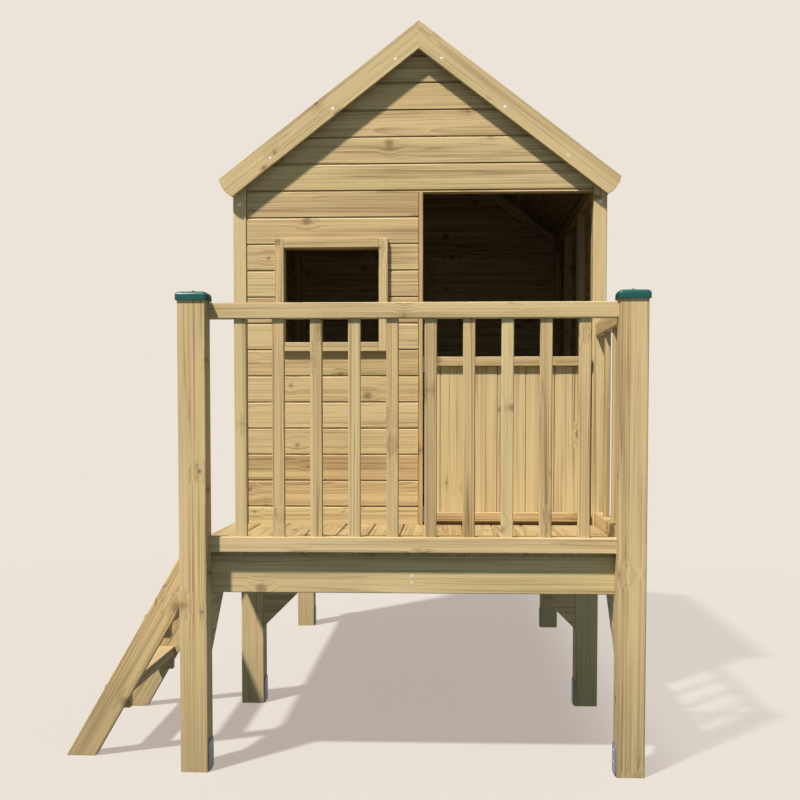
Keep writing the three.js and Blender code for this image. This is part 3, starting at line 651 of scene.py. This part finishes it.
def vee_section(width, thickness, vee, left=True, right=True):
    """A board's section with its top edges cut back for half a V joint on either side."""
    half, depth = vee
    section = [(BOARD_GAP, -thickness), (width - BOARD_GAP, -thickness)]
    section += [(width - BOARD_GAP, -depth), (width - half, 0)] if right else [(width, 0)]
    section += [(half, 0), (BOARD_GAP, -depth)] if left else [(0, 0)]
    return section


deck_low, deck_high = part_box("deck_boards")
deck_top = deck_high.z
deck_thickness = deck_high.z - deck_low.z
deck_board = (deck_high.x - deck_low.x) / DECK_BOARDS
deck_timbers = []
for number in range(DECK_BOARDS):
    section = vee_section(deck_board, deck_thickness, DECK_VEE, number > 0, number < DECK_BOARDS - 1)
    origin = (deck_low.x + number * deck_board, deck_low.y, deck_top)
    deck_timbers.append(timber(section, 0, deck_high.y - deck_low.y, origin, (BACK, RIGHT, UP)))
assemble("deck_floorboards", deck_timbers, "deck_boards", FINE_EASE, top_shaded_pine)


# Balustrades
# Planed pine: two 40 x 32 mm rails with 31 x 16 mm upright bars between them, butted between the posts
# across the front of the porch, and from the post to the wall on its right side.
RAIL_TONE = -0.1
FRONT_BALUSTER_TONES = (-0.1, 0.7, 0.5, 0.0, 0.8, 0.6, 0.7, -0.9, 0.8, 0.4)
SIDE_BALUSTERS = 3
for name in ("rail_front_top", "rail_front_bottom"):
    dress_in_pine(name, ALONG_X, RAIL_TONE)
for name in ("rail_side_top", "rail_side_bottom"):
    dress_in_pine(name, ALONG_Y)
for number, tone in enumerate(FRONT_BALUSTER_TONES, 1):
    dress_in_pine(f"baluster_front_{number}", ALONG_Z, tone)
for number in range(1, SIDE_BALUSTERS + 1):
    dress_in_pine(f"baluster_side_{number}", ALONG_Z)


# Ladder
# Two raked 28 mm stringers, cut level at the foot and plumb against the side joist, with a cleat under
# each end of both treads. Their pine is paler than the deck's.
TREADS = (1, 2)
LADDER_ANGLE = math.radians(60)
CLEAT_LENGTH = 0.056
CLEAT_HEIGHT = 0.038
CLEAT_THICKNESS = 0.028
CLEAT_GAP = 0.0003
LADDER_PALER = 0.5
RAKED = np.array([[math.cos(LADDER_ANGLE), 0, math.sin(LADDER_ANGLE)], [0, 1, 0],
                  [-math.sin(LADDER_ANGLE), 0, math.cos(LADDER_ANGLE)]])
tread_boxes = [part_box(f"tread_{number}") for number in TREADS]
joist_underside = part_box("joist_left")[0].z
run_per_rise = 1 / math.tan(LADDER_ANGLE)
for row, inward in (("front", 1), ("rear", -1)):
    low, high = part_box(f"stringer_{row}")
    inner = tread_boxes[0][0].y if inward > 0 else tread_boxes[0][1].y
    outer = low.y if inward > 0 else high.y
    outline = [
        (low.x, 0), (high.x - joist_underside * run_per_rise, 0), (high.x, joist_underside),
        (high.x, high.z), (low.x + high.z * run_per_rise, high.z),
    ]
    pieces = [timber(outline, min(inner, outer), max(inner, outer), (0, 0, 0), (BACK, RIGHT, UP),
                     grain=RAKED, paler=LADDER_PALER)]
    for tread_low, tread_high in tread_boxes:
        near, far = sorted((inner + inward * CLEAT_GAP, inner + inward * CLEAT_THICKNESS))
        pieces.append(block(
            (tread_high.x - CLEAT_LENGTH, near, tread_low.z - CLEAT_HEIGHT),
            (tread_high.x, far, tread_low.z - CLEAT_GAP), 0))
    assemble(f"ladder_stringer_{row}", pieces, f"stringer_{row}")
for number in TREADS:
    dress_in_pine(f"tread_{number}", ALONG_Y)


# Wall panels
# Planed 12 mm shiplap boards nailed to a frame of 38 x 28 mm battens. Each board ends in a sloping rebate
# under the lip of the next, and the gables are cut to the slope of the roof.
PITCH = math.radians(37.5)
SLOPE = math.tan(PITCH)
ROOF_THICKNESS = 0.016
SEAT_GAP = 0.0003
FIRST_SHOW = 0.058
BOARD_SHOW = 0.08125
LAP = (0.0072, 0.006)
END_GAP = 0.0018
CLADDING = 0.012
BATTEN = 0.038
BATTEN_THICKNESS = 0.028
DOORWAY_RISE = 1.024
WINDOW_BORDER = 0.028
JAMB = 0.013
GABLE_TIP = 0.004
CLADDING_EASE = 0.0005

rear_low, rear_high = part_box("wall_rear")
centre = (rear_low.x + rear_high.x) / 2
house_half = (rear_high.x - rear_low.x) / 2
frame_half = house_half - CLADDING
trim_low, trim_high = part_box("corner_trim_right")
trim_face = trim_low.y
doorway_right = trim_low.x
boards_half = doorway_right - centre
side_low, side_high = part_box("wall_right")
front_frame = side_low.y
rear_frame = side_high.y
side_top = side_high.z
roof_low, roof_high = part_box("roof_left")
ridge = roof_high.z
ridge_under = ridge - ROOF_THICKNESS / math.cos(PITCH)
surround_low, surround_high = (np.array(corner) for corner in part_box("window_surround"))
hole_low = surround_low + (WINDOW_BORDER, 0, WINDOW_BORDER)
hole_high = surround_high - (WINDOW_BORDER, 0, WINDOW_BORDER)
doorway_head = deck_top + DOORWAY_RISE


def under_roof(x):
    """Height of the roof's underside over a distance from the centre plane."""
    return ridge_under - SLOPE * np.abs(x)


def gable_span(heights):
    """Where a gable board starts and ends at each height: at the corner trims, or at the roof's slope."""
    reach = np.minimum(boards_half - END_GAP, (ridge_under - SEAT_GAP - np.asarray(heights)) / SLOPE)
    return centre - reach, centre + reach


def lapped(bottom, head, low, high, thickness):
    """The part, from its bottom to its head, of a lapped board that spans low to high: square below, and
    sloping to its rebate on top."""
    lip = high - LAP[0]
    heights = [bottom, *([lip] if bottom < lip < head else []), head]
    outer = [(h, thickness - max(0.0, h - lip) * LAP[1] / LAP[0]) for h in heights]
    return [(bottom, 0.0), *outer, (head, 0.0)]


def shiplap(origin, axes, top, span_at, bends=(), holes=()):
    """Boards from the deck up to the top. Each is cut where the span bends, and round each hole, given
    as (start, end, low, high) along the board and in height."""
    joints = [deck_top, *np.arange(deck_top + FIRST_SHOW, top, BOARD_SHOW), top]
    pieces = []
    for low, high in zip(joints, joints[1:]):
        whole = np.ravel(span_at([low]))
        log = new_log(np.asarray(origin) + np.array([whole.mean(), (low + high) / 2, 0]) @ np.asarray(axes))
        edges = [edge for hole in holes for edge in hole[2:]]
        levels = sorted({low, high, *(level for level in (*bends, *edges) if low < level < high)})
        for bottom, head in zip(levels, levels[1:]):
            section = lapped(bottom, head, low, high, CLADDING)
            start, end = span_at([height for height, _ in section])
            cuts = sorted(hole[:2] for hole in holes if hole[2] < (bottom + head) / 2 < hole[3])
            starts = [start, *(cut[1] for cut in cuts)]
            ends = [*(cut[0] for cut in cuts), end]
            for near, far in zip(starts, ends):
                if np.all(np.less(near, far)):
                    pieces.append(timber(section, near, far, origin, axes, log))
    return pieces


def slope_axes(sign):
    """The directions up a slope of the roof and square out of it, on the left (-1) or the right (1)."""
    return (np.array([-sign * math.cos(PITCH), 0, math.sin(PITCH)]),
            np.array([sign * math.sin(PITCH), 0, math.cos(PITCH)]))


def rakes(near, far):
    """The two battens under the roof of a gable, plumb at the wall's edge and mitred at the ridge."""
    pieces = []
    for _, sign in SIDES:
        uphill, above = slope_axes(sign)
        foot = (centre + sign * frame_half, near, under_roof(frame_half) - SEAT_GAP)
        reach = far - near - SEAT_GAP
        section = np.array([(0, SEAT_GAP), (-BATTEN, SEAT_GAP), (-BATTEN, reach), (0, reach)])
        start = section[:, 0] * SLOPE
        end = start + frame_half / math.cos(PITCH)
        pieces.append(timber(section, start, end, foot, (uphill, above, BACK)))
    return pieces


def level_batten(left, right, near, far, low):
    """A level batten of a gable wall's frame, between two sides, two faces and up from its lower edge."""
    return block((left, near, low), (right, far, low + BATTEN), 0)


def gable_frame(near, far, studs):
    """Sole and head battens, rakes, and the studs between the sole and the head."""
    pieces = [level_batten(centre - frame_half, centre + frame_half, near, far, low)
              for low in (deck_top, doorway_head)]
    pieces += rakes(near, far)
    pieces += [block((low, near, deck_top + BATTEN), (high, far, doorway_head), 2) for low, high in studs]
    return pieces


corner_height = under_roof(boards_half - END_GAP) - SEAT_GAP
front_holes = [
    (centre - END_GAP, doorway_right, deck_top, doorway_head),
    (hole_low[0], hole_high[0], hole_low[2], hole_high[2]),
]
front_boards = shiplap((0, front_frame, 0), (RIGHT, UP, -BACK), ridge_under - GABLE_TIP, gable_span,
                       [corner_height], front_holes)
front_inside = front_frame + BATTEN_THICKNESS
front_faces = (front_frame, front_inside)
front_studs = [
    (centre - frame_half, centre - frame_half + BATTEN), (hole_low[0] - BATTEN, hole_low[0]),
    (hole_high[0], hole_high[0] + BATTEN), (centre - BATTEN, centre), (doorway_right, centre + frame_half),
]
front_battens = gable_frame(*front_faces, front_studs)
# The jamb board stands on the deck, so the sole is in two lengths, one each side of it
front_battens[0] = level_batten(centre - frame_half, centre, *front_faces, deck_top)
front_battens += [
    level_batten(hole_low[0], hole_high[0], *front_faces, hole_low[2] - BATTEN),
    level_batten(hole_low[0], hole_high[0], *front_faces, hole_high[2]),
    block((centre, surround_low[1], deck_top), (centre + JAMB, front_inside, doorway_head), 2),
    level_batten(centre + JAMB, centre + frame_half, *front_faces, deck_top),
]
assemble("front_wall_boards", front_boards, "wall_front", CLADDING_EASE)
assemble("front_wall_frame", front_battens)

rear_boards = shiplap((0, rear_frame, 0), (RIGHT, UP, BACK), ridge_under - GABLE_TIP, gable_span,
                      [corner_height])
rear_inside = rear_frame - BATTEN_THICKNESS
rear_studs = [(centre + low, centre + low + BATTEN)
              for low in (-frame_half, -BATTEN / 2, frame_half - BATTEN)]
rear_battens = gable_frame(rear_inside, rear_frame, rear_studs)
assemble("rear_wall_boards", rear_boards, "wall_rear", CLADDING_EASE)
assemble("rear_wall_frame", rear_battens)


def side_span(heights):
    """A side wall's boards run between the front and rear frames' faces."""
    return np.full(len(heights), front_frame), np.full(len(heights), rear_frame)


STUDS_A_SIDE = 4
run = rear_inside - front_inside
stud_starts = front_inside + np.linspace(0, run - BATTEN, STUDS_A_SIDE)
for side, sign in SIDES:
    boards = shiplap((centre + sign * frame_half, 0, 0), (BACK, UP, sign * RIGHT), side_top, side_span)
    inner, outer = sorted((centre + sign * (frame_half - BATTEN_THICKNESS), centre + sign * frame_half))
    battens = [block((inner, front_inside, low), (outer, rear_inside, low + BATTEN), 1)
               for low in (deck_top, side_top - BATTEN)]
    battens += [block((inner, start, deck_top + BATTEN), (outer, start + BATTEN, side_top - BATTEN), 2)
                for start in stud_starts]
    assemble(f"{side}_wall_boards", boards, f"wall_{side}", CLADDING_EASE)
    assemble(f"{side}_wall_frame", battens)


# Corner trims and window surround
# Planed 15 mm strips, screwed to the frame at the corners where the boards stop, and butted round the
# window opening on the face of the boards, with the uprights running through.
TRIM_TONE = -0.6
SURROUND_EASE = 0.002
trim_width = trim_high.x - trim_low.x
for side, _ in SIDES:
    dress_in_pine(f"corner_trim_{side}", ALONG_Z, TRIM_TONE)
rear_trims = []
for _, sign in SIDES:
    edges = np.array([sign * boards_half, sign * house_half, sign * house_half, sign * boards_half])
    depths = np.array([rear_frame, rear_frame, rear_high.y, rear_high.y])
    section = np.column_stack([centre + edges, depths])
    tops = under_roof(edges) - SEAT_GAP
    rear_trims.append(timber(section, deck_top, tops, (0, 0, 0), (UP, RIGHT, BACK)))
assemble("rear_corner_trims", rear_trims)

left, front, bottom = surround_low
right, back, top = surround_high
surround = [
    block(surround_low, (hole_low[0], back, top), 2),
    block((hole_high[0], front, bottom), surround_high, 2),
    block((hole_low[0], front, bottom), (hole_high[0], back, hole_low[2]), 0),
    block((hole_low[0], front, hole_high[2]), (hole_high[0], back, top), 0),
]
assemble("window_trim", surround, "window_surround", SURROUND_EASE)


# Roof
# Eight lapped 16 mm boards a side run from gable to gable, and the top pair is mitred plumb at the
# ridge. A barge board with a rounded nose covers their ends at each gable.
ROOF_BOARDS = 8
BARGE_TONES = {"left": 0.25, "right": 0.0}
eaves_half = roof_high.x - roof_low.x
slope_length = eaves_half / math.cos(PITCH)
roof_show = slope_length / ROOF_BOARDS
mitre = slope_length - ROOF_THICKNESS * SLOPE
for side, sign in SIDES:
    uphill, above = slope_axes(sign)
    eaves = (centre + sign * eaves_half, 0, ridge - slope_length * math.sin(PITCH)) - ROOF_THICKNESS * above
    boards = []
    for number in range(ROOF_BOARDS):
        low, high = number * roof_show, (number + 1) * roof_show
        section = lapped(low, high, low, high, ROOF_THICKNESS)
        if number == ROOF_BOARDS - 1:
            section = [(low, 0), (low, ROOF_THICKNESS), (slope_length, ROOF_THICKNESS), (mitre, 0)]
        boards.append(timber(section, roof_low.y, roof_high.y, eaves, (BACK, uphill, above)))
    # Painted shade: the roof boards take the darker pine, as the deck's do
    assemble(f"{side}_roof_boards", boards, f"roof_{side}", FINE_EASE, top_shaded_pine)
    for end in ("front", "rear"):
        dress_in_pine(f"barge_{end}_{side}", (0.0, -sign * PITCH, 0.0), BARGE_TONES[side])


# Half door
# Seven upright V-jointed boards with a ledge across their face at top and bottom, hung on two butt
# hinges. The outer boards are cut to the doorway's width, and the pine is paler than the walls'.
DOOR_VEE = (0.002, 0.003)
FIRST_DOOR_BOARD = 0.049
DOOR_BOARD_PITCH = 0.088
DOOR_PALER = 0.7
door_low, door_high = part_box("door_boards")
door_joints = np.arange(door_low.x + FIRST_DOOR_BOARD, door_high.x - DOOR_VEE[0] * 2, DOOR_BOARD_PITCH)
door_edges = [door_low.x, *door_joints, door_high.x]
door_timbers = []
for left, right in zip(door_edges, door_edges[1:]):
    section = vee_section(right - left, door_high.y - door_low.y, DOOR_VEE,
                          left > door_low.x, right < door_high.x)
    origin = (left, door_low.y, door_low.z)
    door_timbers.append(timber(section, 0, door_high.z - door_low.z, origin, (UP, RIGHT, -BACK),
                               paler=DOOR_PALER))
assemble("door_panel", door_timbers, "door_boards", FINE_EASE, body="door")
for name in ("door_ledge_bottom", "door_ledge_top"):
    dress_in_pine(name, ALONG_X)


# Hinges
# Two butt hinges of rolled steel with a dull zinc plating, darkened further as painted shade, each a leaf
# on the jamb and a leaf on the door whose knuckles turn on one pin.
# The hinges' dark grey is partly a dull plating and partly painted shade, for the shaded gap between door and
# jamb
HINGE_ZINC_SHADED = srgb(104, 101, 94)
HINGE_ZINC_DULL_SHADED = srgb(82, 79, 73)
DULL_METALLIC = 0.25
BLOTCH_SCALES = (160.0, 160.0, 160.0)
BLOTCH_RANGE = (0.3, 0.7)
BRUSH_SCALES = (3000.0, 3000.0, 300.0)
METAL_ROUGHNESS = 0.34
BLOTCH_ROUGHER = 0.2
METAL_RELIEF = {"Strength": 0.3, "Distance": 0.00005}


def plated(name, bright, dull, metallic):
    """Zinc plating: a slow blotch of two greys, with roughness that follows it, and fine brushing."""
    material, tree, shader, seen = new_finish(name)
    blotch = noise(tree, seen, BLOTCH_SCALES, 3.0)
    greys = tinted(tree, ease(tree, blotch, *BLOTCH_RANGE), bright, dull)
    rough = sums(tree, "MULTIPLY_ADD", blotch, BLOTCH_ROUGHER, METAL_ROUGHNESS)
    surface(tree, shader, greys, rough, noise(tree, seen, BRUSH_SCALES, 1.0), METAL_RELIEF)
    shader["Metallic"].default_value = metallic
    return material


hinge_zinc_shaded = plated("rolled zinc with painted shade", HINGE_ZINC_SHADED, HINGE_ZINC_DULL_SHADED, DULL_METALLIC)
for place in ("lower", "upper"):
    for leaf in ("jamb", "door"):
        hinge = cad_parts[f"hinge_{place}_{leaf}_leaf"]
        hinge.data.materials.clear()
        hinge.data.materials.append(hinge_zinc_shaded)


# Ground plates
# A 3 mm galvanised plate with round corners stands on the ground against the inner side of each post,
# and two screws hold it there.
PLATE_WIDTH = 0.060
PLATE_HEIGHT = 0.080
PLATE_THICKNESS = 0.003
PLATE_CORNER = 0.012
PLATE_CORNER_STEPS = 6
PLATE_SCREWS = (0.034, 0.064)
# The dark bluish grey is partly the steel's own and partly painted shade, the shade that the plates stand in
# beside the posts
GALVANISED_SHADE = srgb(116, 126, 142)
GALVANISED_DULL_SHADE = srgb(84, 92, 106)
galvanised_with_shade = plated("galvanised steel with painted shade", GALVANISED_SHADE, GALVANISED_DULL_SHADE, DULL_METALLIC)


def rounded_plate(width, height, corner):
    """A rectangle about its middle with a quarter circle at each corner."""
    turn = np.linspace(0, math.pi / 2, PLATE_CORNER_STEPS)
    outline = []
    for quarter, (x, y) in enumerate(((1, 1), (-1, 1), (-1, -1), (1, -1))):
        spun = turn + quarter * math.pi / 2
        outline.append(np.column_stack([x * (width / 2 - corner) + corner * np.cos(spun),
                                        y * (height / 2 - corner) + corner * np.sin(spun)]))
    return np.vstack(outline)


plates = []
plate_faces = []
for side, sign in SIDES:
    for row in POST_TONES_WITH_PAINTED_LIGHT:
        low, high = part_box(f"post_{row}_{side}")
        face = low.x if sign > 0 else high.x
        origin = np.array([face, (low.y + high.y) / 2, PLATE_HEIGHT / 2])
        outline = rounded_plate(PLATE_WIDTH, PLATE_HEIGHT, PLATE_CORNER)
        plates.append(timber(outline, 0, PLATE_THICKNESS, origin, (-sign * RIGHT, BACK, UP)))
        plate_faces.append((origin - sign * RIGHT * PLATE_THICKNESS, -sign * RIGHT))
assemble("ground_plates", plates, ease_width=FINE_EASE, finish=galvanised_with_shade)


# Screws and nails
# Countersunk cross-head screws, plated bright, hold the barge boards, trims, beams, studs and ground
# plates. Small flat galvanised nails hold the boards to the battens, beams and ledges.
SCREW_RADIUS = 0.0045
SCREW_SPOKES = 32
SCREW_RINGS = 7
CROSS_SHARES = (0.16, 0.62)
CROSS_DEPTH = 0.0012
HEAD_RISE = 0.0006
SCREW_TURN = 1.5
NEARLY_ALONG = 0.9
ZINC = srgb(224, 226, 228)
ZINC_DULL = srgb(182, 187, 194)
ZINC_METALLIC = 0.6
zinc = plated("bright zinc", ZINC, ZINC_DULL, ZINC_METALLIC)


def facing(normal):
    """Two directions that lie in the face with this normal, making a right-handed set with it."""
    normal = np.asarray(normal, float) / np.linalg.norm(normal)
    first = np.cross(BACK if abs(normal[1]) < NEARLY_ALONG else UP, normal)
    first /= np.linalg.norm(first)
    return first, np.cross(normal, first), normal


def screw_head(centre_at, normal):
    """A low dome over (angle, radius), sunk where a cross lies on it: a point is in the cross if its
    distance from either arm's line is under the arm's half width and it is within the arm's reach. The
    cross is left at any turn."""
    turn = draw.uniform(0, SCREW_TURN)
    angle = np.linspace(0, 2 * math.pi, SCREW_SPOKES, endpoint=False)[:, None]
    share = np.linspace(0, 1, SCREW_RINGS)[None, 1:]
    u = share * np.cos(angle)
    v = share * np.sin(angle)
    in_arm = np.minimum(np.abs(u), np.abs(v)) < CROSS_SHARES[0]
    sunk = in_arm & (share < CROSS_SHARES[1])
    height = HEAD_RISE * (1 - share ** 2) - CROSS_DEPTH * sunk
    flat = [u.ravel() * SCREW_RADIUS, v.ravel() * SCREW_RADIUS, height.ravel()]
    points = np.vstack([[0, 0, HEAD_RISE - CROSS_DEPTH], np.column_stack(flat)])
    first, second, out = facing(normal)
    spun = np.array([math.cos(turn) * first + math.sin(turn) * second,
                     math.cos(turn) * second - math.sin(turn) * first, out])
    rings = SCREW_RINGS - 1
    spoke = np.arange(SCREW_SPOKES)[:, None] * rings + 1
    after = np.roll(spoke, -1, axis=0)
    ring = np.arange(rings - 1)[None, :]
    quads = np.stack([spoke + ring, spoke + ring + 1, after + ring + 1, after + ring], -1).reshape(-1, 4)
    fan = np.column_stack([np.zeros(SCREW_SPOKES, int), spoke.ravel(), after.ravel()])
    return np.asarray(centre_at) + points @ spun, quads.tolist() + fan.tolist()


NAIL_RADIUS = 0.0014
NAIL_RISE = 0.0004
NAIL_TOP_SHARE = 0.7
NAIL_SIDES = 8


def nail_head(centre_at, normal):
    """A flat disc with a sloping rim."""
    angle = np.linspace(0, 2 * math.pi, NAIL_SIDES, endpoint=False)
    rim = np.column_stack([np.cos(angle), np.sin(angle), np.zeros(NAIL_SIDES)]) * NAIL_RADIUS
    top = rim * NAIL_TOP_SHARE + (0, 0, NAIL_RISE)
    side = np.arange(NAIL_SIDES)
    after = np.roll(side, -1)
    quads = np.column_stack([side, after, after + NAIL_SIDES, side + NAIL_SIDES]).tolist()
    points = np.vstack([rim, top]) @ np.array(facing(normal))
    return np.asarray(centre_at) + points, [*quads, (side + NAIL_SIDES).tolist()]


# Three screws down each barge board
BARGE_SCREWS = (0.088, 0.329, 0.570)
BARGE_SCREW_DROP = 0.0485
barge_front_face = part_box("barge_front_left")[0].y
barge_rear_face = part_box("barge_rear_left")[1].y
barge_heads = []
for _, sign in SIDES:
    uphill, above = slope_axes(sign)
    for distance in BARGE_SCREWS:
        down = distance + BARGE_SCREW_DROP * SLOPE
        across = np.array([centre, 0, ridge]) - uphill * down - above * BARGE_SCREW_DROP
        for face, normal in ((barge_front_face, -BACK), (barge_rear_face, BACK)):
            barge_heads.append(screw_head(across + BACK * face, normal))
new_piece("barge_screws", barge_heads, zinc)

# Three up each corner trim
TRIM_SCREW_HEIGHTS = (0.60, 1.25, 1.559)
trim_heads = []
for _, sign in SIDES:
    x = centre + sign * (house_half - trim_width / 2)
    for height in TRIM_SCREW_HEIGHTS:
        trim_heads.append(screw_head((x, trim_face, height), -BACK))
        trim_heads.append(screw_head((x, rear_high.y, height), BACK))
new_piece("trim_screws", trim_heads, zinc)

# Two through each ground plate
plate_heads = [screw_head(middle + UP * (height - PLATE_HEIGHT / 2), normal)
               for middle, normal in plate_faces for height in PLATE_SCREWS]
new_piece("plate_screws", plate_heads, zinc)

# Two through the front beam into the end of the centre joist
BEAM_SCREW_HEIGHTS = (0.4775, 0.497)
beam_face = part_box("beam_front")[0].y
beam_heads = [screw_head((centre, beam_face, height), -BACK) for height in BEAM_SCREW_HEIGHTS]
new_piece("beam_screws", beam_heads, zinc)

# One through each stud of the side walls, from inside
STUD_SCREW_HEIGHT = 1.27
stud_heads = []
for _, sign in SIDES:
    for start in stud_starts:
        inner = (centre + sign * (frame_half - BATTEN_THICKNESS), start + BATTEN / 2, STUD_SCREW_HEIGHT)
        stud_heads.append(screw_head(inner, -sign * RIGHT))
new_piece("stud_screws", stud_heads, zinc)

# Nails: one through each board at each stud, and one near each outer end of a gable wall's board, which
# follows the rake where the gable narrows
NAIL_UP_BOARD = 0.022
FROM_RAKE = 0.03
NAIL_FROM_END = 0.006
STUD_NAILS_BELOW_RIDGE = 0.12
RAKE_NAILS_BELOW_RIDGE = 0.06


def nail_heights(top):
    """The heights of the nails in a wall's boards, up to its top: a little above each joint."""
    joints = np.array([deck_top, *np.arange(deck_top + FIRST_SHOW, top - NAIL_UP_BOARD, BOARD_SHOW)])
    return joints + NAIL_UP_BOARD


def nail_rows(studs, top, reach, holes=()):
    """Places (along, height) of the nails through boards: at each stud's middle, within the reach at that
    height and outside the holes."""
    middles = [(low + high) / 2 for low, high in studs]
    along, level = (grid.ravel() for grid in np.meshgrid(middles, nail_heights(top)))
    near, far = reach(level)
    kept = (along > near) & (along < far)
    for start, end, low, high in holes:
        kept &= ~((along > start) & (along < end) & (level > low) & (level < high))
    return np.column_stack([along, level])[kept]


def inside_gable(heights):
    """The span of a gable board less a margin at either end, for the nails at the studs."""
    near, far = gable_span(heights)
    return near + FROM_RAKE / 2, far - FROM_RAKE / 2


nails = []
gable_top = ridge_under - STUD_NAILS_BELOW_RIDGE
front_trimmed = [(low, high) for low, high in front_studs if abs((low + high) / 2 - centre) < boards_half]
for x, height in nail_rows(front_trimmed, gable_top, inside_gable, front_holes):
    nails.append(nail_head((x, front_frame - CLADDING, height), -BACK))
for x, height in nail_rows(rear_studs[1:2], gable_top, inside_gable):
    nails.append(nail_head((x, rear_frame + CLADDING, height), BACK))
for _, sign in SIDES:
    for height in nail_heights(ridge_under - RAKE_NAILS_BELOW_RIDGE):
        reach = min(boards_half - NAIL_FROM_END, gable_span([height])[1][0] - centre - FROM_RAKE)
        nails.append(nail_head((centre + sign * reach, rear_frame + CLADDING, height), BACK))
        if sign < 0 or height > doorway_head:
            nails.append(nail_head((centre + sign * reach, front_frame - CLADDING, height), -BACK))
side_studs = [(start, start + BATTEN) for start in stud_starts]
for _, sign in SIDES:
    for y, height in nail_rows(side_studs, side_top, side_span):
        nails.append(nail_head((centre + sign * house_half, y, height), sign * RIGHT))
new_piece("wall_nails", nails, galvanised_with_shade)

# Two through each deck board into each beam
DECK_NAIL_SHARES = (0.25, 0.75)
DECK_NAIL_FROM_END = 0.012
deck_nails = []
for name in ("beam_front", "beam_middle", "beam_rear"):
    low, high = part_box(name)
    y = min(max((low.y + high.y) / 2, deck_low.y + DECK_NAIL_FROM_END), rear_inside - DECK_NAIL_FROM_END)
    for board in range(DECK_BOARDS):
        for share in DECK_NAIL_SHARES:
            x = deck_low.x + (board + share) * deck_board
            deck_nails.append(nail_head((x, y, deck_top), UP))
new_piece("deck_nails", deck_nails, galvanised_with_shade)

# One through each end of each roof board into the rakes
ROOF_NAIL_SHARE = 0.3
roof_nails = []
for _, sign in SIDES:
    uphill, above = slope_axes(sign)
    eaves = (centre + sign * eaves_half, 0, ridge - slope_length * math.sin(PITCH))
    for number in range(ROOF_BOARDS):
        up_board = uphill * (number + ROOF_NAIL_SHARE) * roof_show
        for y in (front_frame + BATTEN_THICKNESS / 2, rear_frame - BATTEN_THICKNESS / 2):
            roof_nails.append(nail_head(eaves + up_board + BACK * y, above))
new_piece("roof_nails", roof_nails, galvanised_with_shade)

# Two from the back of each door board into each ledge
LEDGE_NAIL_SHARES = (0.3, 0.7)
door_nails = []
for name in ("door_ledge_bottom", "door_ledge_top"):
    low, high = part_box(name)
    for left, right in zip(door_edges, door_edges[1:]):
        for share in LEDGE_NAIL_SHARES:
            place = ((left + right) / 2, door_high.y, low.z + share * (high.z - low.z))
            door_nails.append(nail_head(place, BACK))
new_piece("door_nails", door_nails, galvanised_with_shade, "door")
